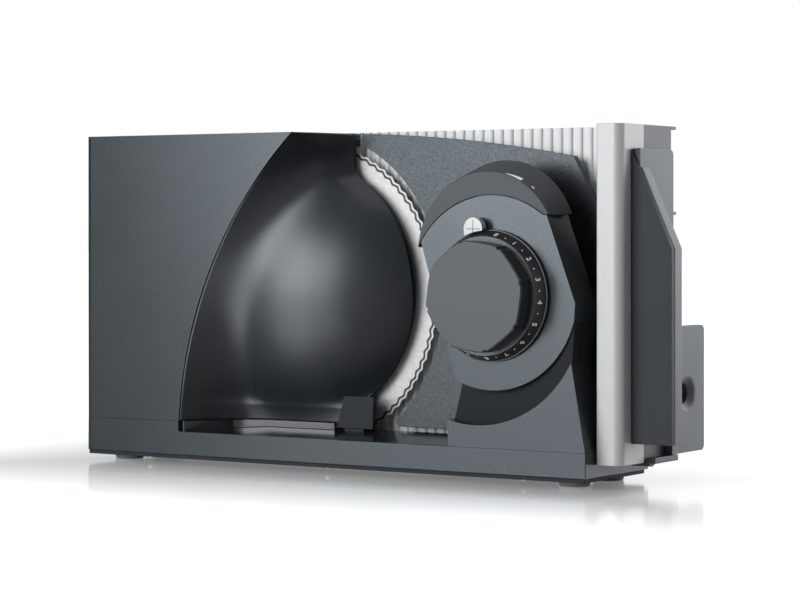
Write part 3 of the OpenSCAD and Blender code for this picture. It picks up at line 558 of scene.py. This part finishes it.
SWEEP_RADIUS = 240
SWEEP_SLOPE = math.radians(22)
SWEEP_CENTRE = (324.7, 11.7)
SWEEP_WIDTH = SWEEP_RADIUS / math.cos(SWEEP_SLOPE)
DOME_CENTRE = (123.3, 95.8)
DOME_RADIUS = 71.4
DOME_RISE = 31.4
DOME_RIM = 41.3
DOME_SPHERE = (DOME_RADIUS ** 2 + DOME_RISE ** 2) / (2 * DOME_RISE)
TAB_EDGE = 154.8
TAB_FILLET = 15
FOOT_DEPTH = 35.6
FOOT_TOP = 33
TAB_FOOT = 138
TAB_RISE = 22
WALL_RUN = 21
RIM_FALL = 16
FALL_POWER = 3
COVER_FRONT = 0.5
COVER_SKIN = 0.12
COVER_ROWS = 190
COVER_COLUMNS = 170
# how much closer together the columns stand towards the cover's right edge
COLUMN_CROWD = 0.3
LEAST_BLEND = 0.05


def sweep_edge(z):
    """Distance of the housing's swept front edge from the left end, at a height."""
    return SWEEP_CENTRE[0] - SWEEP_WIDTH * math.sqrt(1 - ((z - SWEEP_CENTRE[1]) / SWEEP_RADIUS) ** 2)


def cover_right(z):
    """Distance of the cover's right outline from the left end, at a height."""
    fillet_x = TAB_EDGE + TAB_FILLET
    reach = DOME_RADIUS + TAB_FILLET
    fillet_z = DOME_CENTRE[1] + math.sqrt(reach ** 2 - (fillet_x - DOME_CENTRE[0]) ** 2)
    joint_z = DOME_CENTRE[1] + (fillet_z - DOME_CENTRE[1]) * DOME_RADIUS / reach
    if z >= fillet_z:
        return TAB_EDGE
    if z >= joint_z:
        return fillet_x - math.sqrt(TAB_FILLET ** 2 - (fillet_z - z) ** 2)
    circle = DOME_CENTRE[0] + math.sqrt(max(0, DOME_RADIUS ** 2 - (z - DOME_CENTRE[1]) ** 2))
    return max(circle, TAB_EDGE) if z < DOME_CENTRE[1] else circle


def smooth_least(first, second, blend):
    """The lesser of two depths, run into each other over a blend depth."""
    if blend < LEAST_BLEND:
        return min(first, second)
    return min(first, second) - blend * math.log1p(math.exp(-abs(first - second) / blend))


def soft_step(value):
    """Runs from 0 to 1 with level ends as a value does."""
    value = min(1, max(0, value))
    return value * value * (3 - 2 * value)


def cover_back(x, z, sizes):
    """Depth of the dome, the panel above it and its foot, run into each other."""
    reach = (x - DOME_CENTRE[0]) ** 2 + (z - DOME_CENTRE[1]) ** 2
    dome = DOME_RIM - DOME_RISE + DOME_SPHERE - math.sqrt(max(DOME_SPHERE ** 2 - reach, 0))
    inside = 1 - soft_step((x - TAB_EDGE + RIM_FALL) / (2 * RIM_FALL))
    back = smooth_least(dome, DOME_RIM, sizes.panel_blend / MM * inside)
    foot = FOOT_DEPTH + max(0, z - FOOT_TOP)
    return min(smooth_least(back, foot, sizes.skirt_blend / MM), DOME_RIM)


def cover_depth(x, z, sizes):
    """Depth of the cover's surface: a wall that leaves the swept edge and runs into the dome."""
    edge = sweep_edge(z)
    back = cover_back(x, z, sizes)
    wall = max(0, x - COVER_SKIN - edge) / WALL_RUN * cover_back(edge + WALL_RUN, z, sizes)
    power = sizes.wall_power
    depth = back * (1 - math.exp(-(wall / back) ** power)) ** (1 / power)
    tab = soft_step((z - TAB_FOOT) / TAB_RISE)
    fall = tab * max(0, 1 - (cover_right(z) - x) / RIM_FALL) ** FALL_POWER
    depth += (DOME_RIM - depth) * fall
    return COVER_FRONT + depth * (1 - COVER_FRONT / DOME_RIM)


def gear_cover_shell(sizes):
    """The domed cover as one skin: swept wall, dome and panel run into each other."""
    low, high = COVER_LOW.z / MM, COVER_HIGH.z / MM
    start = COVER_FRONT * math.tan(SWEEP_SLOPE) + COVER_SKIN
    bm = bmesh.new()
    bmesh.ops.create_grid(bm, x_segments=COVER_COLUMNS, y_segments=COVER_ROWS, size=0.5)
    for vert in bm.verts:
        z = low + (vert.co.y + 0.5) * (high - low)
        left = sweep_edge(z) + start
        share = vert.co.x + 0.5
        x = left + (cover_right(z) - left) * share * (1 + COLUMN_CROWD - COLUMN_CROWD * share)
        y = cover_depth(x, z, sizes)
        vert.co = place(x, y, z)
    bmesh.ops.recalc_face_normals(bm, faces=bm.faces)
    if sum(face.normal.y for face in bm.faces) > 0:
        bmesh.ops.reverse_faces(bm, faces=bm.faces)
    bmesh.ops.solidify(bm, geom=bm.faces[:], thickness=sizes.cover_thickness)
    for vert in bm.verts:
        vert.co.z = min(max(vert.co.z, COVER_LOW.z), COVER_HIGH.z)
    return object_from(bm, "gear_cover_skin")


# Shape of the blade

BLADE_FLAT = 72 * MM
BLADE_LAND = 0.25 * MM
BLADE_BEVEL = 3 * MM
BEVEL_LANDS = 2.2
WAVE_STEPS = 10
WAVE_BAND = 1 * MM
WAVE_POWER = 0.8
SPIN_WELD = 1e-7


def wavy_blade(sizes):
    """The blade: a spun profile whose rim is cut into waves."""
    radius = (BLADE_HIGH.x - BLADE_LOW.x) / 2
    front, back = BLADE_LOW.y, BLADE_HIGH.y
    outline = [(0, front), (BLADE_FLAT, front), (radius - BLADE_BEVEL, back - BEVEL_LANDS * BLADE_LAND),
               (radius, back - BLADE_LAND), (radius, back), (radius - BLADE_BEVEL, back), (0, back)]
    bm = bmesh.new()
    ring = [bm.verts.new((BLADE_X + r, y, BLADE_Z)) for r, y in outline]
    edges = [bm.edges.new(pair) for pair in zip(ring, ring[1:])]
    bmesh.ops.spin(bm, geom=ring + edges, cent=(BLADE_X, 0, BLADE_Z), axis=(0, 1, 0),
                   angle=math.tau, steps=sizes.blade_waves * WAVE_STEPS, use_merge=True, use_duplicate=False)
    bmesh.ops.remove_doubles(bm, verts=bm.verts, dist=SPIN_WELD)
    for vert in bm.verts:
        across, up = vert.co.x - BLADE_X, vert.co.z - BLADE_Z
        reach = math.hypot(across, up)
        if reach > radius - WAVE_BAND:
            turn = math.atan2(up, across) * sizes.blade_waves
            cut = sizes.wave_depth * (0.5 + 0.5 * math.cos(turn)) ** WAVE_POWER
            vert.co.x = BLADE_X + across * (reach - cut) / reach
            vert.co.z = BLADE_Z + up * (reach - cut) / reach
    bmesh.ops.recalc_face_normals(bm, faces=bm.faces)
    piece = object_from(bm, "blade_wavy")
    flats = piece.modifiers.new("flat faces", "WEIGHTED_NORMAL")
    flats.keep_sharp = False
    return piece


# Shape of the dial

GRIP_BULGE = 97 * MM
GRIP_MID = 0.947
FACE_PLATE = 0.6 * MM
FACE_SHARE = 0.985
GRIP_TURN = math.radians(14)
GRIP_ROUND = 0.5 * MM
FACE_ROUND = 0.25 * MM
ROUND_ANGLE = 50
FACET_STEPS = 40
NOTCH_ANGLE = math.radians(3.2)
NOTCH_DEPTH = 1.1 * MM
NUMBER_STEP = math.radians(21)
NUMBER_START = math.radians(79)
MARK_SHARE = 0.42
MARK_PROUD = 0.03 * MM
TEXT_SCALE = 1.38
TEXT_RISE = 0.06 * MM
DOT_FOOT = 0.38 * MM
DOT_TOP = 0.3 * MM
DOT_RISE = 0.12 * MM
DOT_SIDES = 16
SKIRT_ROUND = 0.35 * MM
# the skirt's cone: radius and depth at its front and at its rear
SKIRT_SMALL = 30.4 * MM
SKIRT_LARGE = 33.0 * MM
SKIRT_FRONT = place(0, -9, 0).y
SKIRT_REAR = place(0, -2.2, 0).y


def grip_reach(turn, radius, facets):
    """Radius of the grip's outline: slightly bulged flats with a small notch at each corner."""
    sector = math.tau / facets
    offset = (turn - GRIP_TURN) % sector
    beside = offset - sector / 2
    centre = radius * GRIP_MID - GRIP_BULGE
    reach = centre * math.cos(beside) + math.sqrt(GRIP_BULGE ** 2 - (centre * math.sin(beside)) ** 2)
    corner = min(offset, sector - offset)
    if corner < NOTCH_ANGLE:
        reach -= NOTCH_DEPTH * (0.5 + 0.5 * math.cos(math.pi * corner / NOTCH_ANGLE))
    return reach


def faceted_grip(name, sizes, share, rear, front, rounding):
    """A plate with the grip's outline, raised from a rear to a front depth."""
    radius = (GRIP_HIGH.x - GRIP_LOW.x) / 2
    bm = bmesh.new()
    bmesh.ops.create_circle(bm, cap_ends=True, segments=sizes.grip_facets * FACET_STEPS, radius=1)
    for vert in bm.verts:
        turn = math.atan2(vert.co.y, vert.co.x)
        reach = grip_reach(turn, radius, sizes.grip_facets) * share
        vert.co = Vector((DIAL_X + reach * math.cos(turn), rear, DIAL_Z + reach * math.sin(turn)))
    raised = bmesh.ops.extrude_face_region(bm, geom=bm.faces[:])
    moved = [part for part in raised["geom"] if isinstance(part, bmesh.types.BMVert)]
    bmesh.ops.translate(bm, verts=moved, vec=(0, front - rear, 0))
    bmesh.ops.recalc_face_normals(bm, faces=bm.faces)
    piece = object_from(bm, name)
    round_edges(piece, rounding, angle=ROUND_ANGLE)
    return piece


def flat_text(words, height):
    """A word as a thin mesh in its own plane, centred on the origin."""
    curve = bpy.data.curves.new("number", "FONT")
    curve.body = words
    curve.size = height * TEXT_SCALE
    curve.align_x = "CENTER"
    curve.align_y = "CENTER"
    curve.extrude = TEXT_RISE
    holder = bpy.data.objects.new("number", curve)
    bpy.context.scene.collection.objects.link(holder)
    bpy.context.view_layer.update()
    mesh = bpy.data.meshes.new_from_object(holder.evaluated_get(bpy.context.evaluated_depsgraph_get()))
    bpy.data.objects.remove(holder)
    bpy.data.curves.remove(curve)
    return mesh


def skirt_matrix(turn):
    """Stands a flat mark on the skirt's cone, its top towards the rear, at an angle about the dial."""
    widening, length = SKIRT_LARGE - SKIRT_SMALL, SKIRT_REAR - SKIRT_FRONT
    reach = SKIRT_SMALL + widening * MARK_SHARE
    depth = SKIRT_FRONT + length * MARK_SHARE
    outward = Vector((math.cos(turn), 0, math.sin(turn)))
    rise = (Vector((0, length, 0)) + outward * widening).normalized()
    right = Vector((math.sin(turn), 0, -math.cos(turn)))
    normal = right.cross(rise)
    spot = Vector((DIAL_X, depth, DIAL_Z)) + outward * reach + normal * MARK_PROUD
    turned = Matrix((right, rise, normal)).transposed().to_4x4()
    return Matrix.Translation(spot) @ turned


def dial_marks(sizes):
    """Numbers around the skirt with a dot half way between each pair."""
    bm = bmesh.new()
    for index in range(sizes.number_count):
        turn = NUMBER_START - index * NUMBER_STEP
        mesh = flat_text(str(index), sizes.number_height)
        mesh.transform(skirt_matrix(turn))
        bm.from_mesh(mesh)
        bpy.data.meshes.remove(mesh)
        if index + 1 < sizes.number_count:
            spot = skirt_matrix(turn - NUMBER_STEP / 2)
            bmesh.ops.create_cone(bm, cap_ends=True, segments=DOT_SIDES, radius1=DOT_FOOT, radius2=DOT_TOP,
                                  depth=DOT_RISE, matrix=spot)
    return object_from(bm, "dial_marks", smooth=False)


# Shape of the switch's edges and pale marks, in millimetres from the base's front left corner

SWITCH_ROUND = 0.7 * MM
CAP_CENTRE = (263.8, 116.0)
CAP_RADIUS = 41.6
CAP_TILT = math.radians(17)
PATCH_THICKNESS = 0.1 * MM
PATCH_LIFT = 0.04
PATCH_COLUMNS = 16
PATCH_ROWS = 4
SWITCH_PATCHES = {
    "switch_window": {"left": 274.6, "right": 283.3, "front": 0.9, "back": 3.7, "skew": 0.85},
    "switch_tick": {"left": 288.6, "right": 290.2, "front": 2.5, "back": 3.1, "skew": 0.0},
}


def cap_point(x, y, lift):
    """A point on the switch's round top at a given x and y, lifted off it."""
    turn = math.acos((x - CAP_CENTRE[0]) / CAP_RADIUS)
    along = (y + CAP_RADIUS * math.sin(turn) * math.sin(CAP_TILT)) / math.cos(CAP_TILT)
    reach = CAP_RADIUS + lift
    z = CAP_CENTRE[1] + along * math.sin(CAP_TILT) + reach * math.sin(turn) * math.cos(CAP_TILT)
    return place(CAP_CENTRE[0] + reach * math.cos(turn), y - lift * math.sin(turn) * math.sin(CAP_TILT), z)


def cap_patch(name, left, right, front, back, skew):
    """A thin pale inlay on the switch's round top; skew draws its left end to a point."""
    bm = bmesh.new()
    bmesh.ops.create_grid(bm, x_segments=PATCH_COLUMNS, y_segments=PATCH_ROWS, size=0.5)
    for vert in bm.verts:
        share, depth = vert.co.x + 0.5, vert.co.y + 0.5
        reach = (back - front) * (1 - skew * (1 - share))
        vert.co = cap_point(left + (right - left) * share, front + reach * depth, PATCH_LIFT)
    bmesh.ops.recalc_face_normals(bm, faces=bm.faces)
    if sum(face.normal.z for face in bm.faces) < 0:
        bmesh.ops.reverse_faces(bm, faces=bm.faces)
    bmesh.ops.solidify(bm, geom=bm.faces[:], thickness=PATCH_THICKNESS)
    return object_from(bm, name, smooth=False)


# Shape of the small button's edges and lines

INDEX_ROUND = 1.1 * MM
INDEX_LINE = 0.16 * MM
INDEX_PROUD = 0.03 * MM
INDEX_FOOT = 1.4 * MM
INDEX_INSET = 1.2 * MM
INDEX_CROSS = 3.4 * MM


def index_lines():
    """A cross of two thin lines on the small button's front."""
    low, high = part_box("index_button")
    centre = (low.x + high.x) / 2
    front, back = low.y - INDEX_PROUD, low.y + INDEX_PROUD
    cross = low.z + INDEX_CROSS
    bm = bmesh.new()
    block(bm, Vector((centre - INDEX_LINE, front, low.z + INDEX_FOOT)),
          Vector((centre + INDEX_LINE, back, high.z - INDEX_INSET)))
    block(bm, Vector((low.x + INDEX_INSET, front, cross)),
          Vector((high.x - INDEX_INSET, back, cross + 2 * INDEX_LINE)))
    return object_from(bm, "index_lines", smooth=False)


# Shape of the end wall's left corner

WALL_CORNER = 5 * MM


def square_corner(wall):
    """Draws the round front left corner of the end wall out to a square one."""
    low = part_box("end_wall")[0]
    for vert in wall.data.vertices:
        across = low.x + WALL_CORNER - vert.co.x
        along = low.y + WALL_CORNER - vert.co.y
        if across > 0 and along > 0:
            growth = math.hypot(across, along) / max(across, along)
            vert.co.x = low.x + WALL_CORNER - across * growth
            vert.co.y = low.y + WALL_CORNER - along * growth


# Shape of the food holder's edges and of its hand guard's tip

PANEL_ROUND = 0.7 * MM
GUARD_ROUND = 0.3 * MM
GUARD_KNEE = 120.3 * MM
GUARD_STRETCH = 0.106


def draw_up(piece, knee, stretch):
    """Stretches what stands above a knee's height upwards by a share."""
    for vert in piece.data.vertices:
        vert.co.z += stretch * max(0, vert.co.z - knee)


# Operators

class SlicerOperator:
    """What the slicer's operators share: their settings."""

    bl_options = {"REGISTER", "UNDO"}

    @staticmethod
    def settings(context):
        return context.scene.slicer_sizes, context.scene.slicer_finishes


class SLICER_OT_finishes(SlicerOperator, bpy.types.Operator):
    """Make the finishes and put them on the solids that stay as they are."""

    bl_idname = "slicer.finishes"
    bl_label = "Finishes"

    def execute(self, context):
        FINISHES.update(make_finishes(*self.settings(context)))
        dress_nodes(frame["nodes"])
        return {"FINISHED"}


class SLICER_OT_castings(SlicerOperator, bpy.types.Operator):
    """Round the edges of the lacquered base, housing, pedestal and stop plate."""

    bl_idname = "slicer.castings"
    bl_label = "Castings"

    def execute(self, context):
        sizes, _ = self.settings(context)
        for node in ("motor_housing", "stop_plate"):
            rounded_node(node, sizes.edge_round)
        for node in ("base", "pedestal"):
            rounded_node(node, sizes.seam_round)
        return {"FINISHED"}


class SLICER_OT_cover(SlicerOperator, bpy.types.Operator):
    """Model the domed gear cover and round the tray below it."""

    bl_idname = "slicer.cover"
    bl_label = "Gear Cover and Tray"

    def execute(self, context):
        sizes, _ = self.settings(context)
        settle(gear_cover_shell(sizes), "frame", "satin_black", "gear_cover")
        for node in ("tray", "blade_guard", "pedestal_scoop"):
            rounded_node(node, sizes.trim_round)
        return {"FINISHED"}


class SLICER_OT_blade(SlicerOperator, bpy.types.Operator):
    """Model the blade with its wavy cutting edge."""

    bl_idname = "slicer.blade"
    bl_label = "Blade"

    def execute(self, context):
        sizes, _ = self.settings(context)
        settle(wavy_blade(sizes), "blade_rotor", "blade_steel", "blade")
        return {"FINISHED"}


class SLICER_OT_dial(SlicerOperator, bpy.types.Operator):
    """Model the dial's grip and the marks on its skirt."""

    bl_idname = "slicer.dial"
    bl_label = "Dial"

    def execute(self, context):
        sizes, colours = self.settings(context)
        plate = GRIP_LOW.y + FACE_PLATE
        grip = faceted_grip("dial_grip_faceted", sizes, 1, GRIP_HIGH.y, plate, GRIP_ROUND)
        settle(grip, "dial", "dial_black", "dial_grip")
        face = faceted_grip("dial_face", sizes, FACE_SHARE, plate + FACE_PLATE, GRIP_LOW.y, FACE_ROUND)
        settle(face, "dial", "dial_grey")
        rounded_node("dial_skirt", SKIRT_ROUND)
        FINISHES["marks"] = moulded_finish("pale marks", colours.marks, rough=0.5, grain=1800, depth=0.05)
        settle(dial_marks(sizes), "dial", "button_grey", finish="marks")
        return {"FINISHED"}


class SLICER_OT_buttons(SlicerOperator, bpy.types.Operator):
    """Round the small button and the power switch and give the switch its pale marks."""

    bl_idname = "slicer.buttons"
    bl_label = "Buttons"

    def execute(self, context):
        rounded_node("index_button", INDEX_ROUND, segments=4)
        rounded_node("power_switch", SWITCH_ROUND)
        settle(index_lines(), "index", "dark_plastic")
        for name, outline in SWITCH_PATCHES.items():
            settle(cap_patch(name, **outline), "power", "button_grey", finish="marks")
        return {"FINISHED"}


class SLICER_OT_carriage(SlicerOperator, bpy.types.Operator):
    """Round the carriage's frame, its bright end wall and the slider."""

    bl_idname = "slicer.carriage"
    bl_label = "Carriage"

    def execute(self, context):
        sizes, _ = self.settings(context)
        square_corner(rounded_node("end_wall", sizes.wall_round, segments=4))
        for node in ("carriage_frame", "slider"):
            rounded_node(node, sizes.trim_round)
        return {"FINISHED"}


class SLICER_OT_holder(SlicerOperator, bpy.types.Operator):
    """Round the food holder's panel and hand guard."""

    bl_idname = "slicer.holder"
    bl_label = "Holder"

    def execute(self, context):
        _, colours = self.settings(context)
        # painted shade: the guard's front piece gets the darker moulded grey instead of the holder's blue
        # grey, so its front face reads as shaded against its lighter sides
        FINISHES["guard"] = moulded_finish(
            "guard shaded matte", colours.moulded, rough=0.62, grain=2400, depth=0.12, shine=0.20)
        rounded_node("holder_panel", PANEL_ROUND)
        draw_up(rounded_node("guard_front", GUARD_ROUND, finish="guard"), GUARD_KNEE, GUARD_STRETCH)
        draw_up(rounded_node("guard_rear", GUARD_ROUND), GUARD_KNEE, GUARD_STRETCH)
        return {"FINISHED"}


class SLICER_OT_underside(SlicerOperator, bpy.types.Operator):
    """Round the feet, the bottom cover and the rear plate."""

    bl_idname = "slicer.underside"
    bl_label = "Feet and Rear"

    def execute(self, context):
        sizes, _ = self.settings(context)
        for node in ("feet", "bottom_cover", "rear_plate", "cord_inlet", "rail"):
            rounded_node(node, sizes.trim_round)
        return {"FINISHED"}


# Studio

CAMERA_PLACE = (929.0, -1112.7, 131.55)
CAMERA_TURN = math.radians(32.817)
CAMERA_LENS = 114.56
CAMERA_SHIFT = -0.0923
CAMERA_SENSOR = 36
CAMERA_REACH = 50
AIM = Vector((0, 0, 90 * MM))
LIGHT_TINT = (0.955, 1, 1.02)
WORLD_TINT = (0.96, 0.98, 1, 1)
# the world's light grows towards the rear, and half as much towards the right, between these two values
WORLD_LEAN = 0.5
WORLD_FADE = (0.15, 0.95)
FLOOR_HALF = 9
FLOOR_COLOUR = (0.72, 0.70, 0.69)
FLOOR_SHADES = (0.99, 1.01)
FLOOR_CLOUD = 3
FLOOR_GLOW = 0.95
FLOOR_MIRROR = 0.85
FLOOR_BOUNCE = 0.4
MIRROR_ROUGH = 0.12
# distances from the slicer's outline between which the floor's mirror image fades
MIRROR_FADE = (-0.06, 0.27)


def area_light(name, turn, height, distance, width, tall, brightness):
    """A soft box aimed at the object's middle, turned about it by degrees from the front."""
    angle = math.radians(turn)
    lamp = bpy.data.lights.new(name, "AREA")
    lamp.shape = "RECTANGLE"
    lamp.size = width
    lamp.size_y = tall
    lamp.energy = brightness * math.pi * width * tall
    lamp.color = LIGHT_TINT
    holder = bpy.data.objects.new(name, lamp)
    holder.location = (math.sin(angle) * distance, -math.cos(angle) * distance, height)
    holder.rotation_mode = "QUATERNION"
    holder.rotation_quaternion = (AIM - holder.location).to_track_quat("-Z", "Y")
    bpy.context.scene.collection.objects.link(holder)


def white_world(backdrop, front, back):
    """A white backdrop; its light on the object is dim from the front left and bright from behind."""
    world = bpy.data.worlds.new("studio")
    bpy.context.scene.world = world
    world.use_nodes = True
    tree = world.node_tree
    shown = tree.nodes["Background"]
    shown.inputs["Color"].default_value = (1, 1, 1, 1)
    shown.inputs["Strength"].default_value = backdrop
    lit = add(tree, "ShaderNodeBackground")
    lit.inputs["Color"].default_value = WORLD_TINT
    parts = add(tree, "ShaderNodeSeparateXYZ")
    tree.links.new(add(tree, "ShaderNodeTexCoord").outputs["Generated"], parts.inputs[0])
    across = maths(tree, "MULTIPLY", parts.outputs["X"], WORLD_LEAN)
    rearward = maths(tree, "ADD", across, parts.outputs["Y"])
    tree.links.new(spread(tree, rearward, front, back, *WORLD_FADE, "SMOOTHSTEP"), lit.inputs["Strength"])
    path = add(tree, "ShaderNodeLightPath")
    mix = add(tree, "ShaderNodeMixShader")
    tree.links.new(path.outputs["Is Camera Ray"], mix.inputs["Fac"])
    tree.links.new(lit.outputs["Background"], mix.inputs[1])
    tree.links.new(shown.outputs["Background"], mix.inputs[2])
    tree.links.new(mix.outputs["Shader"], tree.nodes["World Output"].inputs["Surface"])


def floor_finish():
    """White floor with a mirror image that fades away from the object."""
    material, tree, shader, where = blank_finish(
        "white floor", Roughness=1.0, Specular_IOR_Level=0.0, Emission_Color=(1, 1, 1, 1))
    cloud = effect(tree, "handling", where, scale=FLOOR_CLOUD)
    shade_between(tree, cloud.outputs["Cloud"], shader, FLOOR_COLOUR, *FLOOR_SHADES)
    gloss = add(tree, "ShaderNodeBsdfAnisotropic")
    gloss.inputs["Color"].default_value = (1, 1, 1, 1)
    gloss.inputs["Roughness"].default_value = MIRROR_ROUGH
    parts = add(tree, "ShaderNodeSeparateXYZ")
    tree.links.new(where, parts.inputs[0])
    away = []
    for axis in range(2):
        centre = (CAD_BOX[0][axis] + CAD_BOX[1][axis]) / 2
        from_centre = maths(tree, "ABSOLUTE", maths(tree, "SUBTRACT", parts.outputs[axis], centre), 0)
        away.append(maths(tree, "SUBTRACT", from_centre, CAD_BOX[1][axis] - centre))
    image = spread(tree, maths(tree, "MAXIMUM", *away), FLOOR_MIRROR, 0, *MIRROR_FADE, "SMOOTHSTEP")
    path = add(tree, "ShaderNodeLightPath")
    seen = path.outputs["Is Camera Ray"]
    tree.links.new(maths(tree, "MULTIPLY", seen, FLOOR_GLOW), shader.inputs["Emission Strength"])
    mirrored = maths(tree, "MULTIPLY", path.outputs["Is Glossy Ray"], FLOOR_BOUNCE)
    mix = add(tree, "ShaderNodeMixShader")
    tree.links.new(maths(tree, "ADD", maths(tree, "MULTIPLY", seen, image), mirrored), mix.inputs["Fac"])
    tree.links.new(shader.outputs["BSDF"], mix.inputs[1])
    tree.links.new(gloss.outputs["BSDF"], mix.inputs[2])
    tree.links.new(mix.outputs["Shader"], tree.nodes["Material Output"].inputs["Surface"])
    return material


class SLICER_OT_stage(SlicerOperator, bpy.types.Operator):
    """Set the pale floor, the soft lights and the camera."""

    bl_idname = "slicer.stage"
    bl_label = "Studio"

    def execute(self, context):
        bm = bmesh.new()
        bmesh.ops.create_grid(bm, x_segments=1, y_segments=1, size=FLOOR_HALF)
        floor = object_from(bm, "floor", smooth=False)
        floor.data.materials.append(floor_finish())
        white_world(backdrop=1.0, front=0.15, back=1.1)
        area_light("front box", turn=-17, height=0.47, distance=1.6, width=1.30, tall=0.88, brightness=9.8)
        area_light("back box", turn=150, height=0.50, distance=1.6, width=1.6, tall=1.0, brightness=3.7)
        area_light("top box", turn=20, height=1.7, distance=0.4, width=1.4, tall=1.0, brightness=1.2)
        lens = bpy.data.cameras.new("camera")
        lens.lens = CAMERA_LENS
        lens.sensor_width = CAMERA_SENSOR
        lens.shift_y = CAMERA_SHIFT
        lens.clip_end = CAMERA_REACH
        camera = bpy.data.objects.new("camera", lens)
        camera.location = place(*CAMERA_PLACE)
        camera.rotation_euler = (math.pi / 2, 0, CAMERA_TURN)
        context.scene.collection.objects.link(camera)
        context.scene.camera = camera
        context.scene.view_settings.view_transform = "Standard"
        return {"FINISHED"}


STEPS = (
    SLICER_OT_finishes, SLICER_OT_castings, SLICER_OT_cover, SLICER_OT_blade, SLICER_OT_dial,
    SLICER_OT_buttons, SLICER_OT_carriage, SLICER_OT_holder, SLICER_OT_underside, SLICER_OT_stage,
)


class SLICER_PT_dressing(bpy.types.Panel):
    """Lists the dressing's settings and steps."""

    bl_idname = "SLICER_PT_dressing"
    bl_label = "Food Slicer"
    bl_space_type = "VIEW_3D"
    bl_region_type = "UI"
    bl_category = "Slicer"

    def draw(self, context):
        for group in (context.scene.slicer_sizes, context.scene.slicer_finishes):
            for name in group.__annotations__:
                self.layout.prop(group, name)
        for step in STEPS:
            self.layout.operator(step.bl_idname)


CLASSES = (SlicerSizes, SlicerFinishes, *STEPS, SLICER_PT_dressing)


def register():
    for entry in CLASSES:
        bpy.utils.register_class(entry)
    bpy.types.Scene.slicer_sizes = bpy.props.PointerProperty(type=SlicerSizes)
    bpy.types.Scene.slicer_finishes = bpy.props.PointerProperty(type=SlicerFinishes)


def unregister():
    del bpy.types.Scene.slicer_finishes
    del bpy.types.Scene.slicer_sizes
    for entry in reversed(CLASSES):
        bpy.utils.unregister_class(entry)


def main():
    register()
    bpy.ops.slicer.finishes()
    bpy.ops.slicer.castings()
    bpy.ops.slicer.cover()
    bpy.ops.slicer.blade()
    bpy.ops.slicer.dial()
    bpy.ops.slicer.buttons()
    bpy.ops.slicer.carriage()
    bpy.ops.slicer.holder()
    bpy.ops.slicer.underside()
    bpy.ops.slicer.stage()


if __name__ == "__main__":
    main()
